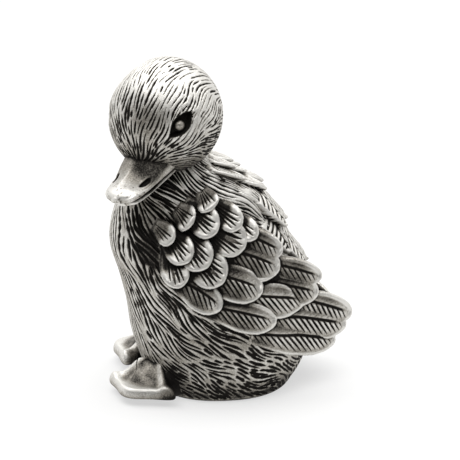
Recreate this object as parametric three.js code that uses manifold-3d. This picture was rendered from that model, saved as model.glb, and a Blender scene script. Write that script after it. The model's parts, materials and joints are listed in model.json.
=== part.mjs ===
// A duckling figurine in antiqued pewter, standing with its head turned to its left.
// A hollow slush-cast body carries solid castings that are pegged and soldered to it: the head with its
// bill and eye beads, two wings, the tail and two webbed feet. A plate closes the body from below.
// Millimetres, +Z up. The duckling faces -Y, its left side is +X, and it stands on Z = 0.
import * as THREE from "three";
import { mergeVertices } from "three/addons/utils/BufferGeometryUtils.js";
import Module from "manifold-3d";

const wasm = await Module();
wasm.setup();

// Driving dimensions
const neckTop = 36.5; // height of the neck's shoulder, where the head seats
const bodyWidth = 25.4;
const breastReach = 13.8; // furthest point of the breast in front of the origin
const rumpReach = 15.2; // furthest point of the rump behind the origin
const wall = 2.2; // metal left in the mould by slush casting
const solderGap = 0.3; // clearance at every soldered seat
const neckSolid = 8; // how far the neck is solid metal from its shoulder down
const plateThickness = 1.6;
const plateLedge = 0.9; // how far the closing plate reaches under the body's wall
const neckPegRadius = 3;
const neckPegLength = 4.5;
const pegRadius = 1.5; // wing and tail pegs
const footPegRadius = 0.8;
const headRadius = 8.25;
const headLift = 5; // centre of the head above the neck's shoulder
const headForward = 5.9; // centre of the head in front of the origin
const headAside = 1.6; // centre of the head to the duckling's left
const headTurn = 46; // degrees to its left
const headNod = 22; // degrees down
const headTilt = 4; // degrees, left cheek up
const billLength = 9; // from the face to the tip
const billWidth = 8.6;
const billDepth = 3.2; // upper bill at the face
const billEdge = 0.5; // the upper bill's least thickness over the mouth's line
const mouthDrop = 0.5; // how far the mouth's line starts below the face's middle
const billBow = 0.12; // how far a jaw's underside bows down in the middle
const lowerBillWidth = 7.2;
const lowerBillThickness = 0.8;
const lowerBillSetback = 1; // how far the lower bill's tip stays behind the upper one's
const billTenonLength = 4;
const upperTenonRadius = 1;
const lowerTenonRadius = 0.45;
const nostrilLength = 1.3;
const nostrilAside = 2.2; // from the bill's middle
const nostrilSplay = 14; // degrees that the slots open towards the face
const nostrilReach = 4.6; // in front of the face
const nostrilLift = 1.4; // over the mouth's line
const eyeRadius = 0.74;
const eyeSocketLength = 3.3;
const eyeSocketWidth = 2.4;
const eyeStemRadius = 0.4;
const eyeStemLength = 2;
const vaneSink = 0.9; // how deep a feather is rooted in what carries it
const wingReach = 24.5; // from the wing's fold to its tip
const wingTipAside = 3.6; // from the middle of the body to the wing's tip
const rightWingDroop = 5; // degrees that the right wing hangs lower than the left one
const tailLength = 4.4;
const tailSpread = 2.4; // from the fan's middle to the outer feather's tip
const tailVaneWidth = 3;
const tailHeight = 7; // height of the tail's root on the rump
const toeRadius = 0.9; // of the rolled rim round a foot
const webDish = [3.6, 2.3, 1.2]; // half sizes of the hollow between the toes: along the front, across, down
const legRadius = 1.9;

// Shared geometry helpers

const radians = THREE.MathUtils.degToRad;
const mix = THREE.MathUtils.lerp;
const ease = (t) => THREE.MathUtils.smoothstep(t, 0, 1);

// A closed skin through rings of equally many points, with both ends capped, its faces pointing out.
function loft(rings) {
  const sides = rings[0].length;
  const points = rings.flat();
  const faces = [];
  for (let i = 0; i + 1 < rings.length; i++) {
    for (let j = 0; j < sides; j++) {
      const a = i * sides + j;
      const b = i * sides + ((j + 1) % sides);
      faces.push(a, b, b + sides, a, b + sides, a + sides);
    }
  }
  const capStarts = [0, (rings.length - 1) * sides];
  capStarts.forEach((start, end) => {
    const centre = new THREE.Vector3();
    points.slice(start, start + sides).forEach((p) => centre.addScaledVector(p, 1 / sides));
    const middle = points.push(centre) - 1;
    for (let j = 0; j < sides; j++) {
      const edge = [start + j, start + ((j + 1) % sides)];
      faces.push(middle, edge[1 - end], edge[end]);
    }
  });
  // The rings may run either way round, so the enclosed volume's sign settles which way the faces point.
  let volume = 0;
  for (let i = 0; i < faces.length; i += 3) {
    const [a, b, c] = faces.slice(i, i + 3).map((k) => points[k]);
    volume += a.dot(b.clone().cross(c));
  }
  if (volume < 0) faces.reverse();
  return new THREE.BufferGeometry().setFromPoints(points).setIndex(faces);
}

function solidOf(geometry) {
  const bare = geometry.clone();
  bare.deleteAttribute("normal");
  bare.deleteAttribute("uv");
  const merged = mergeVertices(bare, 1e-4);
  return new wasm.Manifold(
    new wasm.Mesh({
      numProp: 3,
      vertProperties: merged.attributes.position.array,
      triVerts: new Uint32Array(merged.index.array),
    }),
  );
}

function geometryOf(solid) {
  const mesh = solid.getMesh();
  const made = new THREE.BufferGeometry();
  made.setAttribute("position", new THREE.BufferAttribute(mesh.vertProperties, 3));
  made.setIndex(new THREE.BufferAttribute(mesh.triVerts, 1));
  made.computeVertexNormals();
  return made;
}

const joined = (geometries) => geometries.map(solidOf).reduce((sum, part) => sum.add(part));
const without = (solid, cutters) => cutters.map(solidOf).reduce((left, cut) => left.subtract(cut), solid);

// A round bar from one point to another.
function bar(from, to, radius, sides = 14) {
  const axis = to.clone().sub(from);
  const geometry = new THREE.CylinderGeometry(radius, radius, axis.length(), sides);
  const upright = new THREE.Vector3(0, 1, 0);
  const turn = new THREE.Quaternion().setFromUnitVectors(upright, axis.clone().normalize());
  return geometry.applyQuaternion(turn).translate(...from.clone().add(to).divideScalar(2));
}

// Everything below the standing face, to trim a foot flat
function underFloor() {
  const side = 4 * (breastReach + rumpReach);
  return new THREE.BoxGeometry(side, side, side).translate(0, 0, -side / 2);
}

// Body: level sections between the breast's line, the rump's line and the flanks, each a share of its own
// driving dimension at a share of the neck's height

const bodyLevels = [0, 0.1, 0.22, 0.34, 0.47, 0.58, 0.71, 0.81, 0.905, 1];
const sectionFullness = 2.25; // 2 is an ellipse, more is squarer
const bodySides = 30;
const bodyStations = 20;
const cavitySides = 20;
const cavityStations = 9;

function profile(shares) {
  const spline = new THREE.CubicInterpolant(bodyLevels, shares, 1);
  return (z) => spline.evaluate(z / neckTop)[0];
}

const breastLine = profile([0.58, 0.68, 0.78, 0.83, 0.915, 1, 0.965, 0.86, 0.67, 0.53]);
const rumpLine = profile([0.78, 0.93, 1, 0.99, 0.91, 0.785, 0.62, 0.48, 0.12, -0.06]);
const flankLine = profile([0.86, 0.95, 0.99, 1, 0.965, 0.88, 0.75, 0.62, 0.5, 0.36]);

function bodySection(z, grow = 0) {
  const front = -breastReach * breastLine(z) - grow;
  const back = rumpReach * rumpLine(z) + grow;
  const half = (bodyWidth / 2) * flankLine(z) + grow;
  return { middle: (front + back) / 2, depth: (back - front) / 2, half };
}

const rounded = (value) => Math.sign(value) * Math.abs(value) ** (2 / sectionFullness);

function bodyRing(z, grow, sides, at = z) {
  const { middle, depth, half } = bodySection(z, grow);
  return Array.from({ length: sides }, (_, j) => {
    const angle = (2 * Math.PI * j) / sides;
    return new THREE.Vector3(half * rounded(Math.cos(angle)), middle + depth * rounded(Math.sin(angle)), at);
  });
}

// The body's form between two heights, grown outwards or shrunk inwards. It runs straight past its ends.
function bodyForm(grow, from, to, stations, sides) {
  const levels = Array.from({ length: stations }, (_, i) => mix(from, to, i / (stations - 1)));
  return loft(levels.map((z) => bodyRing(THREE.MathUtils.clamp(z, 0, neckTop), grow, sides, z)));
}

// The body's form with the solder's gap round it, which its neighbours are cut by
const bodyGrown = () => bodyForm(solderGap, -1, neckTop, bodyStations, bodySides);

// The share of a section's full reach that is left this far from its middle
const sectionFall = (share) => Math.max(0, 1 - Math.abs(share) ** sectionFullness) ** (1 / sectionFullness);

function flankAt(y, z) {
  const { middle, depth, half } = bodySection(z);
  return half * sectionFall((y - middle) / depth);
}

function backAt(x, z) {
  const { middle, depth, half } = bodySection(z);
  return middle + depth * sectionFall(x / half);
}

function breastAt(x, z) {
  const { middle, depth, half } = bodySection(z);
  return middle - depth * sectionFall(x / half);
}

// Feathers: one vane is a crowned leaf, narrow at the root and round at the tip. It starts under the surface
// and rises towards its tip over the next row.

const vaneStations = [0, 0.3, 0.6, 0.82, 0.95, 1];
const vaneAcross = [-1, -0.55, 0, 0.55, 1];
const vaneWidest = 0.55; // share of the length where the round tip begins
const vaneRoot = -0.5; // height of a vane's root over the surface
const vaneCrown = 0.09; // share of the width
const vaneTipDrop = 0.3; // how much the rim of the tip rolls down

function vaneHalfWidth(width, s) {
  if (s < vaneWidest) return (width / 2) * mix(0.62, 1, ease(s / vaneWidest));
  const past = (s - vaneWidest) / (1 - vaneWidest);
  return (width / 2) * Math.sqrt(1 - 0.96 * past ** 2.4);
}

// tip and heading lie in the plane of two coordinates that surface(p, q, height) turns into a point.
function vane(surface, form) {
  const { tip, heading, length, width, rise, start = vaneRoot, sink = vaneSink, crown = vaneCrown } = form;
  const along = new THREE.Vector2(Math.cos(radians(heading)), Math.sin(radians(heading)));
  const across = new THREE.Vector2(-along.y, along.x);
  const root = new THREE.Vector2(...tip).addScaledVector(along, -length);
  const rings = vaneStations.map((s) => {
    const half = vaneHalfWidth(width, s);
    const point = (share, height) => {
      const place = root.clone().addScaledVector(along, s * length).addScaledVector(across, share * half);
      return surface(place.x, place.y, height);
    };
    const middle = mix(start, rise, s) - vaneTipDrop * ease((s - 0.75) / 0.25);
    const top = vaneAcross.map((a) => point(a, middle + crown * width * (1 - a * a)));
    const bottom = [0.85, -0.85].map((a) => point(a, Math.min(middle, 0) - sink));
    return [...top, ...bottom];
  });
  return loft(rings);
}

// Wing: a pad that follows the flank and rows of vanes on it. Each row lists its feathers from the front
// to the back as [along, up, heading in degrees, length, width]: the tip is measured from the wing's
// shoulder, backwards and upwards.

const wingShoulder = new THREE.Vector2(-7.5, 22.4); // where the wing folds, backwards and upwards
const wingPadThickness = 2.4;
const wingPadProud = 0.35; // how far the pad stands over the flank
const wingPadLength = 25;
const wingPadWidth = 9.5;
const wingPadTip = [23.5, -9];
const wingPadHeading = -21;
const wingPeg = new THREE.Vector2(8.5, -2.6); // from the shoulder, backwards and upwards
const vaneRows = [
  {
    name: "shoulder feathers",
    rise: 2.5,
    feathers: [
      [0.8, 3.4, -28, 1.6, 3.8],
      [4, 5.3, -40, 2.3, 4.4],
      [7.2, 7.2, -64, 1.9, 4],
    ],
  },
  {
    name: "lesser coverts",
    rise: 2.0,
    feathers: [
      [3.4, 0.2, -52, 4.8, 4.2],
      [7.8, 4.1, -34, 5.6, 4.4],
      [11.4, 4.5, -32, 5, 3.6],
      [13.6, 2.7, -38, 4.4, 3],
    ],
  },
  {
    name: "median coverts",
    rise: 1.85,
    feathers: [
      [1.9, -3.4, -78, 5.4, 4],
      [6.1, -0.7, -50, 5.8, 4.9],
      [11.8, 1.6, -28, 6.8, 5],
    ],
  },
  {
    name: "greater coverts",
    rise: 1.65,
    feathers: [
      [8.3, -3, -44, 6.8, 5.4],
      [16.8, -2.3, -21, 9, 4.8],
      [17.3, -0.1, -25, 8, 3.8],
    ],
  },
  {
    name: "secondaries",
    rise: 1.45,
    feathers: [
      [7.9, -6.8, -32, 8, 4.4],
      [14.1, -4.8, -17, 10, 5],
      [22.8, -7.2, -17, 10, 4.4],
      [23.4, -5, -21, 10, 3.6],
    ],
  },
  {
    name: "long secondaries",
    rise: 1.2,
    feathers: [
      [16.1, -9.8, -15, 11.5, 4.6],
      [20.7, -8, -13, 12, 4.8],
    ],
  },
  {
    name: "primaries",
    rise: 1.1,
    feathers: [
      [27.4, -13.6, -19, 13, 4.8],
      [28.3, -12.2, -26, 12, 4.4],
    ],
  },
  {
    name: "outermost primary",
    rise: 0.8,
    feathers: [[25.7, -15.6, -17, 11, 4.8]],
  },
];

// The sheet that the wing's feathers lie on: against the flank in front, and folding in behind the rump
function wingSheet(y, z) {
  const share = (y - wingShoulder.x / 2) / wingReach;
  const folded = (bodyWidth / 2) * flankLine(z) * mix(1, (2 * wingTipAside) / bodyWidth, share * share);
  return Math.max(folded, flankAt(y, z)) + solderGap;
}

// A place on the left wing, turned down by the droop about the shoulder
function wingPlace(along, up, droop) {
  const turned = new THREE.Vector2(along, up).rotateAround(new THREE.Vector2(), radians(-droop));
  return turned.add(wingShoulder);
}

// A wing in its left-hand form, with the peg that goes through the body's wall
function wing(droop) {
  const surface = (along, up, height) => {
    const { x: y, y: z } = wingPlace(along, up, droop);
    return new THREE.Vector3(wingSheet(y, z) + height, y, z);
  };
  const pad = vane(surface, {
    tip: wingPadTip,
    heading: wingPadHeading,
    length: wingPadLength,
    width: wingPadWidth,
    rise: wingPadProud,
    start: wingPadProud,
    sink: wingPadThickness,
    crown: 0,
  });
  const vanes = vaneRows.flatMap(({ rise, feathers }) =>
    feathers.map(([along, up, heading, length, width]) =>
      vane(surface, { tip: [along, up], heading, length, width, rise }),
    ),
  );
  const outside = without(joined([pad, ...vanes]), [bodyGrown()]);
  return geometryOf(outside.add(solidOf(wingPegBar(droop, pegRadius, 0))));
}

function wingPegBar(droop, radius, longer) {
  const { x: y, y: z } = wingPlace(wingPeg.x, wingPeg.y, droop);
  const inner = flankAt(y, z) - wall - longer;
  const outer = flankAt(y, z) + 2 * solderGap + longer;
  return bar(new THREE.Vector3(inner, y, z), new THREE.Vector3(outer, y, z), radius);
}

const mirrored = (geometry) => {
  const turned = geometry.clone().scale(-1, 1, 1);
  turned.index.array.reverse();
  return turned;
};

// Body casting: the hollow form with its neck peg, the mantle's feathers down the back, and a hole for
// every peg that comes through the wall. Each row of the mantle has its tips at one height.

const mantleFan = 4; // degrees that a feather turns outwards for each millimetre aside
const mantleRows = [
  { tip: 32.6, count: 2, spacing: 3, length: 0.7, width: 3.4, rise: 2.7 },
  { tip: 31.3, count: 3, spacing: 3.2, length: 1.8, width: 3.6, rise: 2 },
  { tip: 29.2, count: 2, spacing: 3.6, length: 3.6, width: 4, rise: 1.3 },
  { tip: 26.8, count: 3, spacing: 3.8, length: 4.4, width: 4.4, rise: 1.1 },
  { tip: 24, count: 2, spacing: 4, length: 5.4, width: 5, rise: 1.1 },
  { tip: 20.6, count: 3, spacing: 4.4, length: 6, width: 5, rise: 1.1 },
  { tip: 17.4, count: 2, spacing: 4.4, length: 6.4, width: 5, rise: 1.1 },
];
const backSurface = (x, z, height) => new THREE.Vector3(x, backAt(x, z) + height, z);

function mantle() {
  return mantleRows.flatMap(({ tip, count, spacing, length, width, rise }) =>
    Array.from({ length: count }, (_, i) => {
      const aside = (i - (count - 1) / 2) * spacing;
      const heading = mantleFan * aside - 90;
      return vane(backSurface, { tip: [aside, tip], heading, length, width, rise });
    }),
  );
}

function neckPeg(radius, longer) {
  const { middle } = bodySection(neckTop);
  const foot = new THREE.Vector3(0, middle, neckTop - wall);
  return bar(foot, new THREE.Vector3(0, middle, neckTop + neckPegLength + longer), radius);
}

function body() {
  const form = bodyForm(0, 0, neckTop, bodyStations, bodySides);
  const outside = joined([form, neckPeg(neckPegRadius, 0), ...mantle()]);
  const ledgeGrow = plateLedge - wall;
  const cavityTop = neckTop - neckSolid;
  const wingHole = (droop) => wingPegBar(droop, pegRadius + solderGap, solderGap);
  return without(outside, [
    bodyForm(-wall, -wall, cavityTop, cavityStations, cavitySides),
    bodyForm(ledgeGrow, -wall, plateThickness, 2, bodySides),
    wingHole(0),
    mirrored(wingHole(rightWingDroop)),
    tailPeg(pegRadius + solderGap, solderGap),
    ...stance.map((foot) => footPeg(foot, footPegRadius + solderGap, solderGap)),
  ]);
}

function basePlate() {
  return solidOf(bodyForm(plateLedge - wall - solderGap, 0, plateThickness - solderGap, 2, bodySides));
}

// Tail: a short fan of vanes on a tapered root that is pegged into the rump

const tailFeathers = [-1, -0.5, 0, 0.5, 1]; // share of the fan's spread
const tailDroop = 20; // degrees below level
const tailFan = 14; // degrees that the outer feathers turn outwards
const tailArch = 9.6; // radius that the fan is bent to across
const tailRooted = 3; // how much of a feather is inside the rump
const tailRise = 0.9;
const tailEdgeFall = 0.5; // how much lower the outer feathers lie than the middle one
const tailRoundness = 1.3; // how much shorter the outer feathers are than the middle one
const tailSurface = (x, along, height) => {
  const down = radians(tailDroop);
  const root = rumpReach * rumpLine(tailHeight);
  const arch = (x * x) / (2 * tailArch);
  return new THREE.Vector3(
    x,
    root + along * Math.cos(down) + height * Math.sin(down),
    tailHeight - arch - along * Math.sin(down) + height * Math.cos(down),
  );
};

function tailPeg(radius, longer) {
  const root = rumpReach * rumpLine(tailHeight);
  const inner = new THREE.Vector3(0, root - wall - longer, tailHeight);
  return bar(inner, new THREE.Vector3(0, root + tailLength / 3, tailHeight), radius);
}

function tail() {
  const vanes = tailFeathers.map((share) =>
    vane(tailSurface, {
      tip: [share * tailSpread, tailLength - tailRoundness * share * share],
      heading: 90 - share * tailFan,
      length: tailLength + tailRooted,
      width: tailVaneWidth,
      rise: tailRise - tailEdgeFall * Math.abs(share),
    }),
  );
  const fan = without(joined(vanes), [bodyGrown()]);
  return fan.add(solidOf(tailPeg(pegRadius, 0)));
}

// Foot: a short broad foot whose toes and front edge stand proud as a rolled rim round a dished web, and the
// lower leg that runs back along the flank. The left foot is set forward.

const stance = [
  { name: "left_foot", side: 1, aside: 4.6, forward: 8, heading: 0 },
  { name: "right_foot", side: -1, aside: 8.2, forward: 6.4, heading: -6 },
];
// The rim's corners from the ankle: outwards, backwards, and the height of the rim's top
const footRim = [
  [-4.3, -1, 3.5], // inner toe, at the breast
  [-2.7, -5, 2.1], // inner toe's tip
  [-1.2, -5, 1.85],
  [2.8, -3.2, 1.75],
  [3.8, -2.2, 1.9], // outer toe's tip
  [2.4, 0, 2.7],
  [-2, 0.4, 4.1], // heel, under the breast
];
const soleRounding = 0.55; // share of the rim's radius that the lowest balls are lifted
const dishSpot = [-0.5, -2.8, 2.8]; // outwards, backwards and up
const dishTurn = 28; // degrees that the front edge slants backwards, going outwards
const footPegInward = 2.2; // from the ankle towards the middle of the body
const kneeBack = 4.9; // from the ankle to where the leg goes into the plumage, backwards and upwards
const kneeLift = 4.2;
const kneeProud = 0.6; // how far the leg stands out of the flank
const ankleHeight = 1.85;

// A place given outwards, backwards and up from the ankle
function footPlace({ side, aside, forward, heading }, outwards, backwards, up) {
  const turned = new THREE.Vector2(outwards, backwards).rotateAround(new THREE.Vector2(), radians(heading));
  return new THREE.Vector3(side * (aside + turned.x), turned.y - forward, up);
}

const ball = (radius, place) => new THREE.SphereGeometry(radius, 12, 8).translate(...place);

function footForm(stand) {
  const balls = footRim.flatMap(([outwards, backwards, top]) =>
    [top - toeRadius, soleRounding * toeRadius].map((up) =>
      ball(toeRadius, footPlace(stand, outwards, backwards, up)),
    ),
  );
  return wasm.Manifold.hull(balls.map(solidOf));
}

function footDish(stand) {
  const turn = stand.side * radians(dishTurn + stand.heading);
  const bowl = new THREE.SphereGeometry(1, 18, 12).scale(...webDish);
  return bowl.rotateZ(turn).translate(...footPlace(stand, ...dishSpot));
}

// A round bar along a curve, with a radius of its own at each station and blunt ends
function taper(curve, stations, radii, sides) {
  const ring = (s, radius) => {
    const direction = curve.getTangent(s);
    const aside = new THREE.Vector3(0, 0, 1).cross(direction).normalize();
    const upward = direction.clone().cross(aside);
    return Array.from({ length: sides }, (_, j) => {
      const angle = (2 * Math.PI * j) / sides;
      const spoke = aside.clone().multiplyScalar(Math.cos(angle)).addScaledVector(upward, Math.sin(angle));
      return curve.getPoint(s).addScaledVector(spoke, radius);
    });
  };
  return loft(stations.map((s, i) => ring(s, radii[i])));
}

// The peg passes over the closing plate into the hollow of the body.
function footPeg({ side, aside }, radius, longer) {
  const height = plateThickness + footPegRadius + solderGap;
  const x = aside - footPegInward;
  const front = breastAt(x, height);
  const inner = new THREE.Vector3(side * x, front + wall + longer, height);
  return bar(inner, new THREE.Vector3(side * x, front - 2 * solderGap - longer, height), radius);
}

// The lower leg leaves the foot's outer side and lies against the flank.
function leg(stand) {
  const onFlank = (share, radius) => {
    const y = share * kneeBack - stand.forward;
    const z = ankleHeight + share * kneeLift;
    return new THREE.Vector3(stand.side * (flankAt(y, z) + kneeProud - radius), y, z);
  };
  const path = new THREE.CatmullRomCurve3([
    footPlace(stand, legRadius, -1, ankleHeight),
    onFlank(0.35, legRadius),
    onFlank(1, legRadius * 0.5),
  ]);
  const radii = [0.7, 1, 1, 0.8, 0.35].map((share) => share * legRadius);
  return taper(path, [0, 0.15, 0.5, 0.8, 1], radii, 12);
}

function foot(stand) {
  const form = footForm(stand).add(solidOf(leg(stand)));
  const seated = without(form, [footDish(stand), bodyGrown(), underFloor()]);
  return seated.add(solidOf(footPeg(stand, footPegRadius, 0)));
}

// Head: a ball with full cheeks, drawn out towards the bill. It is made in its own frame, facing -Y.

const headFrame = new THREE.Group();
headFrame.position.set(headAside, -headForward, neckTop + headLift);
headFrame.rotation.set(radians(headNod), radians(-headTilt), radians(headTurn), "ZXY");
headFrame.updateMatrix();
const intoHead = headFrame.matrix.clone().invert();

// Where the bill leaves the head
const face = new THREE.Vector3(0.03, -0.79, -0.48).multiplyScalar(headRadius);
const faceDirection = face.clone().normalize();
const cheekDirection = new THREE.Vector3(0.78, -0.38, -0.5).normalize();
const muzzleSwell = 0.07; // share of the head's radius
const muzzleSpread = 32; // degrees
const cheekSwell = 0.05;
const cheekSpread = 40;

function headSkin(direction) {
  const sideways = direction.clone().setX(Math.abs(direction.x));
  const towards = (aim, spread, d) => Math.exp(-((d.angleTo(aim) / radians(spread)) ** 2));
  const muzzle = muzzleSwell * towards(faceDirection, muzzleSpread, direction);
  const cheek = cheekSwell * towards(cheekDirection, cheekSpread, sideways);
  return direction.clone().multiplyScalar(headRadius * (1 + muzzle + cheek));
}

// What the neck and its peg take out of the head, in the head's frame
function neckSeat() {
  const neck = bodyForm(solderGap, neckTop - neckSolid, neckTop + solderGap, 5, bodySides);
  const peg = neckPeg(neckPegRadius + solderGap, solderGap);
  return [neck, peg].map((cutter) => cutter.applyMatrix4(intoHead));
}

function headBall() {
  const ball = new THREE.SphereGeometry(headRadius, 26, 18);
  const spots = ball.attributes.position;
  for (let i = 0; i < spots.count; i++) {
    const skin = headSkin(new THREE.Vector3().fromBufferAttribute(spots, i).normalize());
    spots.setXYZ(i, skin.x, skin.y, skin.z);
  }
  return ball;
}

const eyeDirection = (side) => new THREE.Vector3(side * 0.8, -0.55, 0.25).normalize();
const eyeSink = 0.9; // share of the bead's radius that its centre lies under the skin

function eyeSeat(side) {
  const out = eyeDirection(side);
  return headSkin(out).addScaledVector(out, -eyeSink * eyeRadius);
}

function eye(side) {
  const seat = eyeSeat(side);
  const stemEnd = seat.clone().addScaledVector(eyeDirection(side), -eyeStemLength - eyeRadius);
  const bead = new THREE.SphereGeometry(eyeRadius, 10, 8).translate(...seat);
  return joined([bead, bar(seat, stemEnd, eyeStemRadius, 8)]);
}

// The almond dish that the eye bead sits in, drawn out up and back, with room for the bead and its stem
function eyeSocket(side) {
  const out = eyeDirection(side);
  const short = out.clone().cross(new THREE.Vector3(0, 0.94, 0.25)).normalize();
  const long = short.clone().cross(out);
  const depth = eyeRadius + solderGap;
  const dish = new THREE.SphereGeometry(1, 12, 8).scale(eyeSocketLength / 2, eyeSocketWidth / 2, 2 * depth);
  const place = new THREE.Matrix4().makeBasis(long, short, long.clone().cross(short));
  place.setPosition(eyeSeat(side).addScaledVector(out, depth).addScaledVector(long, eyeSocketLength / 8));
  const seat = eyeSeat(side);
  const holeEnd = seat.clone().addScaledVector(out, -eyeStemLength - eyeRadius - solderGap);
  return [
    dish.applyMatrix4(place),
    new THREE.SphereGeometry(eyeRadius + solderGap, 10, 8).translate(...seat),
    bar(seat, holeEnd, eyeStemRadius + solderGap, 8),
  ];
}

// Bill: sections from inside the face to the tip. Widths, tops and bottoms are shares at stations along it.

const billStations = [0, 0.18, 0.36, 0.54, 0.72, 0.86, 0.95, 1];
const billSpread = [1, 0.95, 0.88, 0.81, 0.73, 0.63, 0.47, 0.2]; // share of the bill's width
const billTop = [1, 0.72, 0.48, 0.33, 0.29, 0.29, 0.24, 0.16]; // share of the bill's depth, over the mouth
const billRun = 1.6; // how far the bill's sections start inside the face

const mouthHeight = (s) => face.z - mouthDrop - 0.6 * s + 0.5 * s * s;

// One jaw's solid, between two heights over the mouth's line at each station. Grown, it is its own socket.
function jaw({ width, under, over, length, grow }) {
  const sides = 14;
  const rings = billStations.map((s, i) => {
    const y = face.y + billRun - s * (length + billRun);
    const half = (width / 2) * billSpread[i] + grow;
    const low = mouthHeight(s) + under - grow;
    const high = mouthHeight(s) + over(i) + grow;
    return Array.from({ length: sides }, (_, j) => {
      const angle = (2 * Math.PI * j) / sides;
      const arch = Math.sin(angle);
      const height = arch > 0 ? mix(low, high, arch ** 0.8) : low + billBow * arch;
      return new THREE.Vector3(face.x + half * Math.cos(angle), y, height);
    });
  });
  const root = rings[0].map((p) => p.clone().setY(p.y + grow));
  return loft(grow > 0 ? [root, ...rings] : rings);
}

const upperJaw = (grow) =>
  jaw({
    width: billWidth,
    under: billBow,
    over: (i) => billEdge + billDepth * billTop[i] + mouthDrop * (1 - billStations[i]),
    length: billLength,
    grow,
  });

const lowerJaw = (grow) =>
  jaw({
    width: lowerBillWidth,
    under: -solderGap - lowerBillThickness,
    over: () => -solderGap,
    length: billLength - lowerBillSetback,
    grow,
  });

// A round tenon on a jaw's root, at a height over the face
function tenon(height, radius, grow) {
  const start = face.clone().add(new THREE.Vector3(0, billRun / 2, height));
  const end = start.clone().add(new THREE.Vector3(0, billTenonLength + grow, 0));
  return bar(start, end, radius + grow, 12);
}

const upperTenon = (grow) => tenon(billDepth / 2, upperTenonRadius, grow);
const lowerTenon = (grow) =>
  tenon(-mouthDrop - solderGap - lowerBillThickness / 2, lowerTenonRadius, grow);

// A slot on each side of the bill's saddle
function nostril(side) {
  const slot = new THREE.SphereGeometry(nostrilLength / 2, 10, 8).scale(0.4, 1, 0.7);
  slot.rotateZ(radians(side * nostrilSplay));
  const top = mouthHeight(nostrilReach / billLength) + nostrilLift;
  return slot.translate(face.x + side * nostrilAside, face.y - nostrilReach, top);
}

function upperBill() {
  const whole = joined([upperJaw(0), upperTenon(0)]);
  return without(whole, [nostril(1), nostril(-1), ...neckSeat()]);
}

function lowerBill() {
  const whole = joined([lowerJaw(0), lowerTenon(0)]);
  return without(whole, neckSeat());
}

function head() {
  return without(solidOf(headBall()), [
    ...neckSeat(),
    ...[1, -1].flatMap(eyeSocket),
    ...[upperJaw, lowerJaw, upperTenon, lowerTenon].map((form) => form(solderGap)),
  ]);
}

// Assembly

const pewter = (roughness) => new THREE.MeshStandardMaterial({ color: 0x9a9893, metalness: 1, roughness });
const castPewter = pewter(0.42);
const burnishedPewter = pewter(0.3);

function piece(name, geometry, material) {
  const mesh = new THREE.Mesh(geometry, material);
  mesh.name = name;
  return mesh;
}

headFrame.add(
  piece("head", geometryOf(head()), castPewter),
  piece("upper_bill", geometryOf(upperBill()), burnishedPewter),
  piece("lower_bill", geometryOf(lowerBill()), burnishedPewter),
  piece("left_eye", geometryOf(eye(1)), burnishedPewter),
  piece("right_eye", geometryOf(eye(-1)), burnishedPewter),
);
const duckling = new THREE.Group();
duckling.add(
  piece("body", geometryOf(body()), castPewter),
  piece("base_plate", geometryOf(basePlate()), burnishedPewter),
  headFrame,
  piece("left_wing", wing(0), castPewter),
  piece("right_wing", mirrored(wing(rightWingDroop)), castPewter),
  piece("tail", geometryOf(tail()), castPewter),
  ...stance.map((stand) => piece(stand.name, geometryOf(foot(stand)), burnishedPewter)),
);

export default duckling;
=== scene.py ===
# %% [markdown]
# # A pewter duckling
# This lesson finishes a small cast figurine: a duckling in antiqued pewter, about 50 mm tall. The CAD model
# gives the place and size of every casting, and the script makes the surface that the eye reads: chiselled
# down, feathers with barbs, a smooth bill, and a black patina that is left in every cut.

# %% The frame
import json
import math

import bpy
import numpy as np
from mathutils import Matrix, Vector, kdtree
from mathutils.bvhtree import BVHTree

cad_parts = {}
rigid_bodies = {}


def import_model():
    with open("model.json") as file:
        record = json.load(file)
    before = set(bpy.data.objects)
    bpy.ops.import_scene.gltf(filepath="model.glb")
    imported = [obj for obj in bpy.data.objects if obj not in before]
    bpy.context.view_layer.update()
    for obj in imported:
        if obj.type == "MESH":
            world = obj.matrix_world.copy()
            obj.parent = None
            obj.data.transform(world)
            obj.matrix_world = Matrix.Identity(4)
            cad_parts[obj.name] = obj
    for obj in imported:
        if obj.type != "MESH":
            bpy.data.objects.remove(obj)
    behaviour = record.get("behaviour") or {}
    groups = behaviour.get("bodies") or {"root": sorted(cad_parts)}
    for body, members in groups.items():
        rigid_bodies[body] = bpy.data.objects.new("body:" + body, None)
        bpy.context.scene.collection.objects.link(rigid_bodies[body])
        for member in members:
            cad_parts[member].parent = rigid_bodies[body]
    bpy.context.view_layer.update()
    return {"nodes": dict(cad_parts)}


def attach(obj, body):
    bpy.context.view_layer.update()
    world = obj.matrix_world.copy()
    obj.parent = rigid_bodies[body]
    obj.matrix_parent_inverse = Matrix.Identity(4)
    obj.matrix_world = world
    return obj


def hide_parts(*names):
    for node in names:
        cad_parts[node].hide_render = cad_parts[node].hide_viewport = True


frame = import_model()
MM = 0.001
print("nodes:", sorted(frame["nodes"]))

# %% [markdown]
# ## Camera
# The photograph was taken with a long lens from the duckling's left, a little above it. A camera is placed
# by three axes: where right, up and backwards point. With those known, the point that the lens looks at
# follows from where the figurine's standing point lies in the picture.

# %% Camera
FRAME_PX = 460
PX_PER_MM = 6.85
STANDING_PX = (205, 376)  # where the origin lies in the picture
CAMERA_AZIMUTH = math.radians(82)
CAMERA_ELEVATION = math.radians(20)
CAMERA_DISTANCE = 1200  # mm, far enough for a flat perspective

CAMERA_RIGHT = np.array([math.cos(CAMERA_AZIMUTH), math.sin(CAMERA_AZIMUTH), 0])
CAMERA_BACK = np.array([
    math.cos(CAMERA_ELEVATION) * math.sin(CAMERA_AZIMUTH),
    -math.cos(CAMERA_ELEVATION) * math.cos(CAMERA_AZIMUTH),
    math.sin(CAMERA_ELEVATION),
])
CAMERA_UP = np.cross(CAMERA_BACK, CAMERA_RIGHT)


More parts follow.
